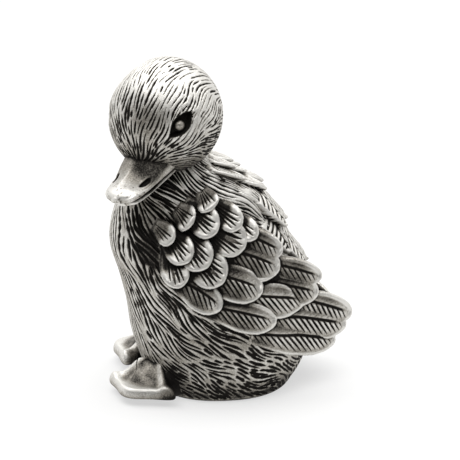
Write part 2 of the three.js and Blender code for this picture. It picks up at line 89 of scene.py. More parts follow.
def place_camera():
    data = bpy.data.cameras.new("studio_camera")
    data.lens = data.sensor_width * CAMERA_DISTANCE * PX_PER_MM / FRAME_PX
    camera = bpy.data.objects.new("studio_camera", data)
    aim = CAMERA_RIGHT * (FRAME_PX / 2 - STANDING_PX[0]) / PX_PER_MM
    aim = aim + CAMERA_UP * (STANDING_PX[1] - FRAME_PX / 2) / PX_PER_MM
    spot = (aim + CAMERA_BACK * CAMERA_DISTANCE) * MM
    axes = np.column_stack([CAMERA_RIGHT, CAMERA_UP, CAMERA_BACK, spot])
    camera.matrix_world = Matrix([*axes.tolist(), [0, 0, 0, 1]])
    bpy.context.scene.collection.objects.link(camera)
    bpy.context.scene.camera = camera
    return data.lens


print("lens:", round(place_camera()), "mm")

# %% [markdown]
# ## Node and mesh helpers
# Shader and geometry trees are built from one function that adds a node, sets it and links it. Meshes go
# through NumPy arrays in millimetres, because a surface of a hundred thousand points is quick to carve that
# way and far too slow one vertex at a time.

# %% Helpers for nodes and colours


def linear(colour):
    """An sRGB hex colour as linear RGBA."""
    channels = [int(colour[k:k + 2], 16) / 255 for k in (1, 3, 5)]
    return [c / 12.92 if c <= 0.04045 else ((c + 0.055) / 1.055) ** 2.4 for c in channels] + [1.0]


def add_node(tree, kind, inputs=None, **settings):
    """Adds a node, with its settings and with values or links on its inputs."""
    node = tree.nodes.new(kind)
    for name, value in settings.items():
        setattr(node, name, value)
    for name, value in (inputs or {}).items():
        if isinstance(value, bpy.types.NodeSocket):
            tree.links.new(value, node.inputs[name])
        else:
            node.inputs[name].default_value = value
    return node


# %% Helpers for meshes


def new_piece(name, points, faces):
    """A mesh object from points in millimetres."""
    mesh = bpy.data.meshes.new(name)
    mesh.from_pydata((points * MM).tolist(), [], [list(face) for face in faces])
    mesh.update()
    return piece_from(name, mesh)


def piece_from(name, mesh):
    mesh.name = name
    mesh.polygons.foreach_set("use_smooth", [True] * len(mesh.polygons))
    made = bpy.data.objects.new(name, mesh)
    bpy.context.scene.collection.objects.link(made)
    return made


def read_array(items, name, width, kind=np.float32):
    values = np.empty(len(items) * width, kind)
    items.foreach_get(name, values)
    return values.reshape(-1, width) if width > 1 else values


def points_of(mesh):
    return read_array(mesh.vertices, "co", 3).astype(float) / MM


def normals_of(mesh):
    return read_array(mesh.vertex_normals, "vector", 3).astype(float)


def edges_of(mesh):
    return read_array(mesh.edges, "vertices", 2, np.int32)


def move_points(mesh, points):
    mesh.vertices.foreach_set("co", (points * MM).astype(np.float32).ravel())
    mesh.update()


def keep_value(mesh, name, values):
    """Stores one number for each point, which a material or a node tree can read."""
    made = mesh.attributes.get(name) or mesh.attributes.new(name, "FLOAT", "POINT")
    made.data.foreach_set("value", np.asarray(values, np.float32))


def relax(values, edges, rounds):
    """Moves each point's values halfway to the mean of its neighbours, once in each round."""
    a, b = edges.T
    size = len(values)
    near = np.maximum(np.bincount(edges.ravel(), minlength=size), 1)
    columns = values.reshape(size, -1).copy()
    for _ in range(rounds):
        for k in range(columns.shape[1]):
            column = columns[:, k]
            total = np.bincount(a, column[b], size) + np.bincount(b, column[a], size)
            columns[:, k] = column + 0.5 * (total / near - column)
    return columns.reshape(values.shape)


def smooth_step(value, low, high):
    t = np.clip((value - low) / (high - low), 0, 1)
    return t * t * (3 - 2 * t)


def unit(vectors):
    return vectors / np.maximum(np.linalg.norm(vectors, axis=-1, keepdims=True), 1e-9)


DRIFT_WAVES = 6
DRIFT_SPREAD = (0.7, 1.4)  # how much shorter or longer than asked the waves are
DRIFT_LEVEL = 2.5  # brings the sum of the waves to between about -1 and 1


def drift(points, wavelength, seed):
    """Smooth noise between about -1 and 1 that changes over a wavelength in millimetres."""
    rng = np.random.default_rng(seed)
    waves = unit(rng.normal(size=(DRIFT_WAVES, 3))) * rng.uniform(*DRIFT_SPREAD, (DRIFT_WAVES, 1))
    phases = rng.uniform(0, 2 * math.pi, DRIFT_WAVES)
    return np.sin(points @ (waves * 2 * math.pi / wavelength).T + phases).sum(axis=1) / DRIFT_LEVEL


def line_through(levels, shares, at):
    """A smooth line through shares that are given at a few levels."""
    slopes = np.gradient(shares, levels)
    k = np.clip(np.searchsorted(levels, at) - 1, 0, len(levels) - 2)
    gap = levels[k + 1] - levels[k]
    t = (at - levels[k]) / gap
    start = (1 + 2 * t) * (1 - t) ** 2 * shares[k] + t * (1 - t) ** 2 * gap * slopes[k]
    return start + t * t * (3 - 2 * t) * shares[k + 1] + t * t * (t - 1) * gap * slopes[k + 1]


def grid_quads(corner):
    """The quads of a grid of point numbers."""
    return np.stack([corner[:-1, :-1], corner[1:, :-1], corner[1:, 1:], corner[:-1, 1:]], axis=-1)


def closed_loft(name, rings):
    """A piece from rings of as many points each, closed by a fan at both ends."""
    around = len(rings[0])
    ends = [rings[0].mean(axis=0), rings[-1].mean(axis=0)]
    lower = np.arange((len(rings) - 1) * around)
    after = lower - lower % around + (lower + 1) % around
    quads = np.stack([lower, after, after + around, lower + around], axis=1).tolist()
    first, last = len(rings) * around, (len(rings) - 1) * around
    fans = [[first, (k + 1) % around, k] for k in range(around)]
    fans += [[first + 1, last + k, last + (k + 1) % around] for k in range(around)]
    return new_piece(name, np.concatenate([*rings, ends]), quads + fans)


def remeshed(name, mesh, voxel):
    """A closed skin of even quads round a mesh whose solids may overlap."""
    rough = bpy.data.objects.new(name, mesh)
    bpy.context.scene.collection.objects.link(rough)
    modifier = rough.modifiers.new("skin", "REMESH")
    modifier.mode = "VOXEL"
    modifier.voxel_size = voxel * MM
    depsgraph = bpy.context.evaluated_depsgraph_get()
    skin = bpy.data.meshes.new_from_object(rough.evaluated_get(depsgraph))
    bpy.data.objects.remove(rough)
    return piece_from(name, skin)


# %% [markdown]
# ## Studio
# Metal shows its surroundings, so the studio is part of the finish: a white table, a large soft light
# above, and white walls all round except on the side where the photographer stands, which is unlit. That
# dark side is what a bright ball needs to look like metal. The table glows a little for the camera and for
# reflections, as a lit sweep does, and keeps a faint shadow. Far away it turns as white as the walls, so no
# edge shows.

# %% Studio
FLOOR_SIZE = 4000  # mm
CARD = linear("#f6f6f5")
CARD_ROUGHNESS, CARD_SHEEN = 0.9, 0.1
FLOOR_GLOW = 0.6  # share of the white that does not come from the lamps
WHITE_FROM, WHITE_TO = 60, 400  # mm from the figurine, over which that share grows to all of it
LIGHT_SIZE = 1400  # mm
LIGHT_SPOT = (0, -40, 850)
LIGHT_POWER = 12.4  # watts
WALL = linear("#ffffff")
DARK_SIDE = linear("#1c1916")
DARK_FROM, DARK_TO = -0.02, 0.55  # cosine of the angle from the photographer's side


def studio_floor():
    side = FLOOR_SIZE / 2
    corners = np.array([[-side, -side, 0], [side, -side, 0], [side, side, 0], [-side, side, 0]])
    floor = new_piece("floor", corners, [[0, 1, 2, 3]])
    material = bpy.data.materials.new("white_card")
    material.use_nodes = True
    tree = material.node_tree
    surface = tree.nodes["Principled BSDF"]
    surface.inputs["Base Color"].default_value = CARD
    surface.inputs["Roughness"].default_value = CARD_ROUGHNESS
    surface.inputs["Specular IOR Level"].default_value = CARD_SHEEN
    ray = add_node(tree, "ShaderNodeLightPath").outputs
    seen = ray["Is Camera Ray"]
    for kind in ("Is Glossy Ray", "Is Transmission Ray"):
        seen = add_node(tree, "ShaderNodeMath", {0: seen, 1: ray[kind]}, operation="MAXIMUM").outputs["Value"]
    spot = add_node(tree, "ShaderNodeTexCoord").outputs["Object"]
    far = add_node(tree, "ShaderNodeVectorMath", {0: spot}, operation="LENGTH").outputs["Value"]
    white = add_node(
        tree, "ShaderNodeMapRange",
        {"Value": far, "From Min": WHITE_FROM * MM, "From Max": WHITE_TO * MM, "To Min": FLOOR_GLOW},
        interpolation_type="SMOOTHSTEP",
    )
    share = add_node(tree, "ShaderNodeMath", {0: seen, 1: white.outputs["Result"]}, operation="MULTIPLY")
    glow = add_node(tree, "ShaderNodeEmission", {"Color": (1, 1, 1, 1), "Strength": 1.0})
    mixed = add_node(
        tree, "ShaderNodeMixShader",
        {0: share.outputs["Value"], 1: surface.outputs["BSDF"], 2: glow.outputs["Emission"]},
    )
    tree.links.new(mixed.outputs["Shader"], tree.nodes["Material Output"].inputs["Surface"])
    floor.data.materials.append(material)


def studio_light():
    data = bpy.data.lights.new("overhead_softbox", "AREA")
    data.size = LIGHT_SIZE * MM
    data.energy = LIGHT_POWER
    softbox = bpy.data.objects.new("overhead_softbox", data)
    spot = Vector(LIGHT_SPOT) * MM
    softbox.location = spot
    softbox.rotation_mode = "QUATERNION"
    softbox.rotation_quaternion = (-spot).to_track_quat("-Z", "Y")
    bpy.context.scene.collection.objects.link(softbox)


def studio_walls():
    world = bpy.data.worlds.new("studio_walls")
    bpy.context.scene.world = world
    world.use_nodes = True
    tree = world.node_tree
    view = add_node(tree, "ShaderNodeTexCoord").outputs["Generated"]
    side = add_node(
        tree, "ShaderNodeVectorMath", {0: view, 1: CAMERA_BACK.tolist()}, operation="DOT_PRODUCT"
    )
    share = add_node(
        tree, "ShaderNodeMapRange",
        {"Value": side.outputs["Value"], "From Min": DARK_FROM, "From Max": DARK_TO},
        interpolation_type="SMOOTHSTEP",
    )
    colour = add_node(
        tree, "ShaderNodeMix", {0: share.outputs["Result"], 6: WALL, 7: DARK_SIDE}, data_type="RGBA"
    )
    tree.links.new(colour.outputs[2], tree.nodes["Background"].inputs["Color"])


bpy.context.scene.view_settings.view_transform = "Standard"
studio_floor()
studio_light()
studio_walls()
print("studio: floor, softbox and walls")

# %% [markdown]
# ## Antiqued pewter
# Pewter is a tin alloy with a soft, slightly warm silver colour. An antiqued casting is dipped until it is
# black all over and then rubbed, so that the metal comes back on every ridge and the black stays in every
# cut. Each piece stores how black each point is, from that patina together with painted shade, as one
# attribute, and one material function turns that into colour and roughness. Fine noise breaks the edge
# between the two, as wear does.

# %% Pewter material
SILVER = linear("#e4e2dd")
WARM_GREY = linear("#9b968d")
BLACKENED = linear("#2b2927")
CAST_GRAIN, GRAIN_DETAIL = 0.22, 3.0  # mm, the sandy skin of the mould
RUB_MARKS, RUB_DETAIL = 1.6, 4.0  # mm, patches that the cloth has rubbed more or less
NOISE_LOW, NOISE_HIGH = 0.3, 0.7  # where most of a noise lies
GRAIN_SHIFT, RUB_SHIFT = 0.1, 0.06  # how far each noise shifts the patina and painted shade
GREY_FROM, GREY_TO = -0.05, 0.45  # patina and painted shade over which silver turns grey
BLACK_FROM, BLACK_TO = 0.3, 0.75  # patina and painted shade over which grey turns black


def pewter(name, polish, dull, grain_depth):
    """polish and dull are the roughness of rubbed and of blackened metal; grain_depth is in millimetres."""
    material = bpy.data.materials.new(name)
    material.use_nodes = True
    tree = material.node_tree
    surface = tree.nodes["Principled BSDF"]
    place = add_node(tree, "ShaderNodeTexCoord").outputs["Object"]

    def noise(size, detail):
        inputs = {"Vector": place, "Scale": 1 / (size * MM), "Detail": detail}
        return add_node(tree, "ShaderNodeTexNoise", inputs).outputs["Fac"]

    def ranged(value, low, high, first=0.0, last=1.0, curve="LINEAR"):
        inputs = {"Value": value, "From Min": low, "From Max": high, "To Min": first, "To Max": last}
        return add_node(tree, "ShaderNodeMapRange", inputs, interpolation_type=curve).outputs["Result"]

    def added(first, second):
        return add_node(tree, "ShaderNodeMath", {0: first, 1: second}, operation="ADD").outputs["Value"]

    def mixed(share, first, second):
        return add_node(tree, "ShaderNodeMix", {0: share, 6: first, 7: second}, data_type="RGBA").outputs[2]

    patina = add_node(tree, "ShaderNodeAttribute", attribute_name="patina").outputs["Fac"]
    grain = noise(CAST_GRAIN, GRAIN_DETAIL)
    uneven = ranged(noise(RUB_MARKS, RUB_DETAIL), NOISE_LOW, NOISE_HIGH, -RUB_SHIFT, RUB_SHIFT)
    speckle = ranged(grain, NOISE_LOW, NOISE_HIGH, -GRAIN_SHIFT, GRAIN_SHIFT)
    worn = added(patina, added(uneven, speckle))
    grey = ranged(worn, GREY_FROM, GREY_TO, curve="SMOOTHSTEP")
    black = ranged(worn, BLACK_FROM, BLACK_TO, curve="SMOOTHSTEP")
    colour = mixed(black, mixed(grey, SILVER, WARM_GREY), BLACKENED)
    rough = ranged(black, 0.0, 1.0, polish, dull)
    bump = add_node(
        tree, "ShaderNodeBump", {"Height": grain, "Distance": grain_depth * MM, "Strength": 1.0}
    )
    surface.inputs["Metallic"].default_value = 1.0
    tree.links.new(colour, surface.inputs["Base Color"])
    tree.links.new(rough, surface.inputs["Roughness"])
    tree.links.new(bump.outputs["Normal"], surface.inputs["Normal"])
    return material


cast_pewter = pewter("antiqued_cast_pewter", polish=0.52, dull=0.7, grain_depth=0.045)
burnished_pewter = pewter("burnished_cast_pewter", polish=0.5, dull=0.7, grain_depth=0.06)
plate_pewter = pewter("sheet_pewter", polish=0.38, dull=0.6, grain_depth=0.012)
print("materials:", cast_pewter.name, burnished_pewter.name, plate_pewter.name)

# %% [markdown]
# ## Chisel strokes
# The down is cut into the master pattern with a small chisel: thousands of strokes that lie side by side,
# follow the way the down lies, and never cross. Scattered instances would cross and leave gaps, so the
# strokes are grown one by one instead, as an engraver works: start at a free spot, follow the flow both
# ways, and stop where another stroke is near. The depth at a point then follows from its distance to the
# nearest strokes.

# %% Laying and cutting strokes
STROKE_STEP = 0.16  # mm between the points of a stroke
STROKE_SQUEEZE = 0.8  # share of the pitch that running strokes may close up to
STROKE_SHORTEST = 0.7  # mm
STROKE_LENGTHS = (0.4, 1.6)  # shares of the reach
STROKE_FORCES = (0.6, 1.3)  # shares of the full width and depth
STROKE_SWELL, SWELL_CURVE = 6, 0.6  # it swells over the first sixth
STROKE_RUN_OUT, RUN_OUT_CURVE = 3, 0.7  # it runs out over the last third
STROKE_SPOTS = 4  # nearest points of strokes that can cut a point of the surface
STROKE_RAGGED, STROKE_RAGGED_OVER = 0.22, 0.9  # share of the width, and mm


def tree_of(points):
    tree = kdtree.KDTree(len(points))
    for k, point in enumerate(points.tolist()):
        tree.insert(point, k)
    tree.balance()
    return tree


def free_of(taken, cell, point, clearance):
    """True if no stroke in the table has a point within the clearance."""
    x, y, z = point
    i, j, k = (int(c // cell) for c in point)
    for a in (i - 1, i, i + 1):
        for b in (j - 1, j, j + 1):
            for c in (k - 1, k, k + 1):
                for u, v, w in taken.get((a, b, c), ()):
                    if (u - x) ** 2 + (v - y) ** 2 + (w - z) ** 2 < clearance ** 2:
                        return False
    return True


def lay_strokes(points, normals, flow, pitch, reach, tries, seed):
    """Strokes along the flow, a pitch apart and about a reach long. Where the pitch is 0 there are none."""
    rng = np.random.default_rng(seed)
    tree = tree_of(points)
    cell = float(pitch.max())
    taken = {}
    strokes = []
    starts = rng.choice(np.flatnonzero(pitch > 0), tries)
    lengths = rng.uniform(*STROKE_LENGTHS, tries) * reach[starts]
    longest_first = np.argsort(-lengths)
    for start, length in zip(starts[longest_first], lengths[longest_first]):
        first = points[start]
        if not free_of(taken, cell, first, pitch[start]):
            continue
        sides = []
        for sign in (-1, 1):
            spot, near, side = first, start, []
            for _ in range(int(length / 2 / STROKE_STEP)):
                spot = spot + sign * STROKE_STEP * flow[near]
                near = tree.find(spot)[1]
                spot = spot - normals[near] * ((spot - points[near]) @ normals[near])
                if pitch[near] <= 0 or not free_of(taken, cell, spot, STROKE_SQUEEZE * pitch[near]):
                    break
                side.append(spot)
            sides.append(side)
        line = np.array([*sides[0][::-1], first, *sides[1]])
        if len(line) * STROKE_STEP < STROKE_SHORTEST:
            continue
        for spot in line.tolist():
            taken.setdefault(tuple(int(c // cell) for c in spot), []).append(spot)
        strokes.append(line)
    return strokes


def cut_depth(points, strokes, width, seed):
    """How deep each point lies in a stroke, from 0 to 1. A stroke swells quickly and runs out thin."""
    rng = np.random.default_rng(seed)
    spots = np.concatenate(strokes)
    runs = np.concatenate([unit(np.gradient(line, axis=0)) for line in strokes])
    share = np.concatenate([(np.arange(len(line)) + 0.5) / len(line) for line in strokes])
    force = np.concatenate([np.full(len(line), rng.uniform(*STROKE_FORCES)) for line in strokes])
    swell = np.minimum(1, STROKE_SWELL * share) ** SWELL_CURVE
    swell = swell * np.minimum(1, STROKE_RUN_OUT * (1 - share)) ** RUN_OUT_CURVE
    tree = tree_of(spots)
    near = np.array([[hit[1] for hit in tree.find_n(point, STROKE_SPOTS)] for point in points.tolist()])
    offset = points[:, None] - spots[near]
    along = (offset * runs[near]).sum(axis=2)
    across = np.maximum((offset ** 2).sum(axis=2) - along ** 2, 0)
    ragged = 1 + STROKE_RAGGED * drift(points, STROKE_RAGGED_OVER, seed)
    half = (width * ragged)[:, None] / 2 * swell[near] * force[near] + 1e-6
    depth = np.clip(1 - across / half ** 2, 0, 1) * np.minimum(1, swell[near] * force[near])
    depth[np.abs(along) > STROKE_STEP] = 0
    return depth.max(axis=1)


print("strokes are laid", STROKE_STEP, "mm at a time")

# %% [markdown]
# ## Body
# The body is one hollow casting, a rounded upright form. Its level sections are superellipses between a
# breast line, a rump line and a flank line, so the surface is a grid of rings, dense enough for the chisel.
# The down lies straight down the breast and the back, and slants backwards over the flanks.

# %% Body form
NECK_TOP = 36.5
BODY_WIDTH = 25.4
BREAST_REACH = 13.8
RUMP_REACH = 15.2
SECTION_FULLNESS = 2.25  # 2 is an ellipse
BODY_LEVELS = np.array([0, 0.1, 0.22, 0.34, 0.47, 0.58, 0.71, 0.81, 0.905, 1])
BREAST_LINE = np.array([0.58, 0.68, 0.78, 0.83, 0.915, 1, 0.965, 0.86, 0.67, 0.53])
RUMP_LINE = np.array([0.78, 0.93, 1, 0.99, 0.91, 0.785, 0.62, 0.48, 0.12, -0.06])
FLANK_LINE = np.array([0.86, 0.95, 0.99, 1, 0.965, 0.88, 0.75, 0.62, 0.5, 0.36])


def profile(shares, z):
    """A share of a reach at a height, from the shares at the body's levels."""
    return line_through(BODY_LEVELS, shares, np.clip(np.asarray(z, float) / NECK_TOP, 0, 1))


def body_section(z, grow=0.0):
    front = -BREAST_REACH * profile(BREAST_LINE, z) - grow
    back = RUMP_REACH * profile(RUMP_LINE, z) + grow
    half = BODY_WIDTH / 2 * profile(FLANK_LINE, z) + grow
    return (front + back) / 2, (back - front) / 2, half


def section_fall(share):
    """What is left of a section's full reach this far from its middle."""
    return np.maximum(0, 1 - np.abs(share) ** SECTION_FULLNESS) ** (1 / SECTION_FULLNESS)


def body_ring(z, angles, grow):
    middle, depth, half = body_section(z, grow)
    power = 2 / SECTION_FULLNESS
    x = half * np.sign(np.cos(angles)) * np.abs(np.cos(angles)) ** power
    y = middle + depth * np.sign(np.sin(angles)) * np.abs(np.sin(angles)) ** power
    return np.stack(np.broadcast_arrays(x, y, z), axis=-1)


print("body section at half height:", [round(float(v), 2) for v in body_section(NECK_TOP / 2)])

# %% Body surface
BODY_AROUND = 640
BODY_UP = 370
BREAST_DENSITY = 0.3  # how much closer the columns lie on the breast than on the flanks
BODY_ROLL = 0.7  # radius of the lower edge
PLATE_REBATE = 1.3  # from the body's outside to the closing plate's seat
PLATE_DEPTH = 1.6


def even_heights(count):
    """Heights of rings that lie evenly along the outline, which flares under the neck."""
    fine = np.linspace(0, NECK_TOP, 600)
    middle, depth, half = body_section(fine)
    flare = (np.abs(np.diff(middle - depth)) + np.abs(np.diff(half))) / 2
    travelled = np.concatenate([[0], np.cumsum(np.hypot(np.diff(fine), flare))])
    return np.interp(np.linspace(0, travelled[-1], count), travelled, fine)


def body_surface():
    """Rings from the plate's seat outwards round the lower edge and up to the neck, closed at both ends."""
    turn = np.linspace(0, 2 * math.pi, BODY_AROUND, endpoint=False)
    angles = turn - BREAST_DENSITY * np.sin(turn) - math.pi / 2
    heights = even_heights(BODY_UP)
    under = BODY_ROLL - np.sqrt(np.maximum(0, BODY_ROLL ** 2 - np.maximum(0, BODY_ROLL - heights) ** 2))
    seat = [body_ring(z, angles, -PLATE_REBATE) for z in (PLATE_DEPTH, 0.0)]
    rings = seat + [body_ring(z, angles, -inset) for z, inset in zip(heights, under)]
    return closed_loft("body_casting", rings)


body = body_surface()
print("body:", len(body.data.vertices), "points")

# %% Body down
FLANK_HOLLOW = np.array([8.6, -9.4, 23.0])  # in front of the wing, on both sides
FLANK_HOLLOW_SIZE = np.array([4.0, 4.0, 6.5])
FLANK_HOLLOW_DEPTH = 0.8
DOWN_SLANT = math.radians(52)  # backwards, on the flank
REAR_SLANT = math.radians(14)  # further backwards, behind the middle
REAR_FROM, REAR_TO = -2, 8  # where that sets in, in Y
FLANK_GAIN = 1.25  # the full slant is reached before the widest point
DOWN_WAVE, DOWN_WAVE_OVER = 0.26, 5.5  # radians, and mm
LOW_FROM, LOW_TO = 13, 6  # heights over which the strokes turn short
BREAST_FROM, BREAST_TO = 0.5, 0.95  # how far the surface faces forwards
DOWN_PITCH, LOW_PITCH, BREAST_PITCH, PITCH_DRIFT = 0.42, 0.04, 0.3, 0.05
DOWN_REACH, LOW_SHORTER = 8.0, 5.0
DOWN_TRIES = 50000
RIM_CLEAR, LEVEL_FACING = 0.4, 0.97  # no strokes on the lower edge or on level faces
BODY_STROKE_WIDTH = 0.43
FULL_WIDTH, BREAST_WIDTH, WIDTH_DRIFT = 1.05, 0.4, 0.2  # shares of that width
BODY_STROKE_DEPTH = 0.26
NECK_FROM, NECK_TO, NECK_DEEPER = 24, 29, 0.5
THROAT = np.array([5.0, -10.0, 28.5])  # under the bill, where painted shade is put
THROAT_SIZE = np.array([5.0, 4.5, 4.0])
UNDER_WING = np.array([12.0, 1.0, 9.5])
UNDER_WING_SIZE = np.array([5.0, 8.0, 3.5])
# painted shade under the bill and under the wing, then a lighter patch in the flank hollow
THROAT_SHADE, UNDER_WING_SHADE, HOLLOW_BRIGHT = 0.38, 0.22, 0.16
# per piece: cut depths and patina patches, with painted shade and a painted highlight
cuts_and_shade = {}


def mirrored(points):
    """The points with both flanks on the left side."""
    return np.column_stack([np.abs(points[:, 0]), points[:, 1:]])


def round_patch(points, middle, size):
    """1 at the middle of a patch and 0 away from it."""
    return np.exp(-(((points - middle) / size) ** 2).sum(axis=1))


def body_flow(points, normals):
    """Down the body, slanting backwards over the flanks, with slow waves."""
    upright = np.array([0.0, 0.0, 1.0])
    fall = unit(normals * normals[:, 2:] - upright)
    around = unit(np.cross(upright, normals))
    half = body_section(points[:, 2])[2]
    aside = np.clip(FLANK_GAIN * points[:, 0] / half, -1, 1)
    rear = smooth_step(points[:, 1], REAR_FROM, REAR_TO)
    slant = aside * (DOWN_SLANT + REAR_SLANT * rear) + DOWN_WAVE * drift(points, DOWN_WAVE_OVER, seed=11)
    return unit(fall * np.cos(slant)[:, None] + around * np.sin(slant)[:, None])


def carve_body():
    points, normals = points_of(body.data), normals_of(body.data)
    hollow = round_patch(mirrored(points), FLANK_HOLLOW, FLANK_HOLLOW_SIZE)
    points = points - normals * (FLANK_HOLLOW_DEPTH * hollow)[:, None]
    height = points[:, 2]
    low = smooth_step(height, LOW_FROM, LOW_TO)
    front = smooth_step(-normals[:, 1], BREAST_FROM, BREAST_TO)
    pitch = DOWN_PITCH + LOW_PITCH * low + BREAST_PITCH * front + PITCH_DRIFT * drift(points, 4, seed=5)
    pitch[(height < RIM_CLEAR) | (np.abs(normals[:, 2]) > LEVEL_FACING)] = 0
    reach = DOWN_REACH - LOW_SHORTER * low
    strokes = lay_strokes(points, normals, body_flow(points, normals), pitch, reach, DOWN_TRIES, seed=21)
    width = BODY_STROKE_WIDTH * (FULL_WIDTH + BREAST_WIDTH * front + WIDTH_DRIFT * drift(points, 3, seed=9))
    depth = cut_depth(points, strokes, width, seed=31)
    deep = BODY_STROKE_DEPTH * (1 + NECK_DEEPER * smooth_step(height, NECK_FROM, NECK_TO))
    move_points(body.data, points - normals * (deep * depth)[:, None])
    throat = round_patch(points, THROAT, THROAT_SIZE)
    under_wing = round_patch(mirrored(points), UNDER_WING, UNDER_WING_SIZE)
    cuts_and_shade[body.name] = depth + THROAT_SHADE * throat + UNDER_WING_SHADE * under_wing - HOLLOW_BRIGHT * hollow
    return len(strokes)


print("body down:", carve_body(), "strokes")

# %% [markdown]
# ## Head
# The head is a ball with full cheeks, drawn out towards the bill, turned to the left and bent down. A
# sphere made of six bent squares has no poles, so the strokes meet even faces everywhere. The down starts
# at the bill and runs back over the crown and the cheeks like meridians, and behind them it turns down to
# the neck.

# %% Head form
HEAD_CENTRE = np.array([1.6, -5.9, 41.5])
HEAD_RADIUS = 8.25
HEAD_TURN, HEAD_NOD, HEAD_TILT = math.radians(46), math.radians(22), math.radians(4)
HEAD_GRID = 126  # squares along one side of each of the six


def turn_about(axis, angle):
    c, s = math.cos(angle), math.sin(angle)
    i, j = [k for k in range(3) if k != axis]
    turned = np.eye(3)
    turned[i, i] = turned[j, j] = c
    turned[i, j], turned[j, i] = (-s, s) if axis != 1 else (s, -s)
    return turned


HEAD_AXES = turn_about(2, HEAD_TURN) @ turn_about(0, HEAD_NOD) @ turn_about(1, -HEAD_TILT)
FACE = np.array([0.03, -0.79, -0.48]) * HEAD_RADIUS  # where the bill leaves the head, in its own axes
FACE_WAY = unit(FACE)
CHEEK_WAY = unit(np.array([0.78, -0.38, -0.5]))
MUZZLE_SWELL, MUZZLE_SPREAD = 0.07, math.radians(32)
CHEEK_SWELL, CHEEK_SPREAD = 0.05, math.radians(40)
TEMPLE_WAY = unit(np.array([0.66, 0.05, 0.75]))
TEMPLE_FLAT, TEMPLE_SPREAD = 0.055, math.radians(30)


def towards(ways, aim, spread):
    return np.exp(-(np.arccos(np.clip(ways @ aim, -1, 1)) / spread) ** 2)


def head_skin(ways):
    """Points on the head's skin in the head's own axes."""
    sideways = ways * np.array([0, 1, 1]) + np.abs(ways) * np.array([1, 0, 0])
    muzzle = MUZZLE_SWELL * towards(ways, FACE_WAY, MUZZLE_SPREAD)
    cheek = CHEEK_SWELL * towards(sideways, CHEEK_WAY, CHEEK_SPREAD)
    temple = TEMPLE_FLAT * towards(sideways, TEMPLE_WAY, TEMPLE_SPREAD)
    return ways * (HEAD_RADIUS * (1 + muzzle + cheek - temple))[..., None]


def from_head(points):
    return points @ HEAD_AXES.T + HEAD_CENTRE


def to_head(points):
    return (points - HEAD_CENTRE) @ HEAD_AXES


def square_sphere(squares):
    """Unit directions and quads of a sphere made of six bent squares, with shared edges."""
    steps = np.tan(np.linspace(-math.pi / 4, math.pi / 4, squares + 1))
    u, v = np.meshgrid(steps, steps, indexing="ij")
    one = np.ones_like(u)
    sides = [(one, u, v), (-one, v, u), (v, one, u), (u, -one, v), (u, v, one), (v, u, -one)]
    ways = np.concatenate([unit(np.stack(side, axis=-1)).reshape(-1, 3) for side in sides])
    _, first, same = np.unique(np.round(ways, 6) + 0.0, axis=0, return_index=True, return_inverse=True)
    corner = np.arange(6 * (squares + 1) ** 2).reshape(6, squares + 1, squares + 1)
    quads = np.concatenate([grid_quads(side).reshape(-1, 4) for side in corner])
    return ways[first], same.reshape(-1)[quads]


head_ways, head_quads = square_sphere(HEAD_GRID)
print("head:", len(head_ways), "points")

# %% Eye sockets
EYE_RADIUS = 0.88
EYE_DEPTH = 1.0  # how far the bead's centre lies under the skin
EYE_WAY = unit(np.array([0.8, -0.55, 0.25]))
SOCKET_LENGTH, SOCKET_WIDTH, SOCKET_DEPTH = 5.0, 2.9, 1.2
SOCKET_BACK = 0.3  # how far the almond's middle lies behind the bead
SOCKET_WAY = np.array([0, 0.94, 0.25])  # the way that the almond lies
SOCKET_WALL = (1.1, 0.4)  # from its edge to its floor, in shares of the outline
OUTSIDE = 9.0


def eye_way(side):
    return EYE_WAY * np.array([side, 1, 1])


def socket_share(skin, side):
    """How far a point lies from the almond's long axis, as a share of the outline's reach there."""
    out = eye_way(side)
    across = unit(np.cross(out, SOCKET_WAY))
    along = np.cross(across, out)
    offset = skin - head_skin(out[None])[0]
    u = offset @ along - SOCKET_BACK
    v = offset @ across
    width = SOCKET_WIDTH / 2 * np.maximum(0.02, 1 - (2 * u / SOCKET_LENGTH) ** 2)
    share = np.where(np.abs(2 * u / SOCKET_LENGTH) < 1, np.abs(v) / width, OUTSIDE)
    return np.where(skin @ out > 0, share, OUTSIDE)


def head_surface():
    skin = head_skin(head_ways)
    sink = np.zeros(len(skin))
    for side in (1, -1):
        sink += SOCKET_DEPTH * smooth_step(socket_share(skin, side), *SOCKET_WALL)
    return new_piece("head_casting", from_head(skin - head_ways * sink[:, None]), head_quads), sink


head, socket_sink = head_surface()
print("sockets:", SOCKET_LENGTH, "by", SOCKET_WIDTH, "mm")

# %% Head down
HEAD_STROKE_WIDTH = 0.33
HEAD_STROKE_DEPTH = 0.18
HEAD_PITCH, CROWN_PITCH, FRONT_PITCH, HEAD_DRIFT = 0.4, 0.13, 0.12, 0.06
CROWN_WIDTH, FRONT_WIDTH, HEAD_WIDTH_DRIFT = -0.2, 0.3, 0.2  # shares of the stroke's width
HEAD_REACH = 3.4
HEAD_TRIES = 30000
HEAD_WAVE, HEAD_WAVE_OVER = 0.22, 4.5  # radians, and mm
CROWN_WAY, CROWN_SPREAD = unit(np.array([0.45, 0.2, 0.9])), math.radians(38)
FRONT_WAY, FRONT_SPREAD = unit(np.array([-0.5, -0.8, 0.35])), math.radians(45)  # coarser down
PARTING_WAY = unit(np.array([0.03, -0.95, -0.37]))  # where the down parts, over the bill
NAPE_WAY = unit(np.array([-0.1, 0.4, -0.9]) @ HEAD_AXES)  # where it closes again, inside the neck
BROW_WAY, BROW_SPREAD = unit(np.array([0.3, -0.76, 0.57])), math.radians(20)
FACE_SPREAD = math.radians(24)
BROW_DARK_REFLECTION, FACE_SHADE = 0.4, 0.35  # a painted dark reflection on the brow and painted shade round the bill's root
CHEEK_PATCH_WAY, CHEEK_PATCH_SPREAD = unit(np.array([0.98, -0.16, 0.14])), math.radians(18)
CHEEK_HIGHLIGHT = 0.55  # a painted highlight behind the eye
SOCKET_CLEAR = 0.15  # no strokes where a socket is deeper


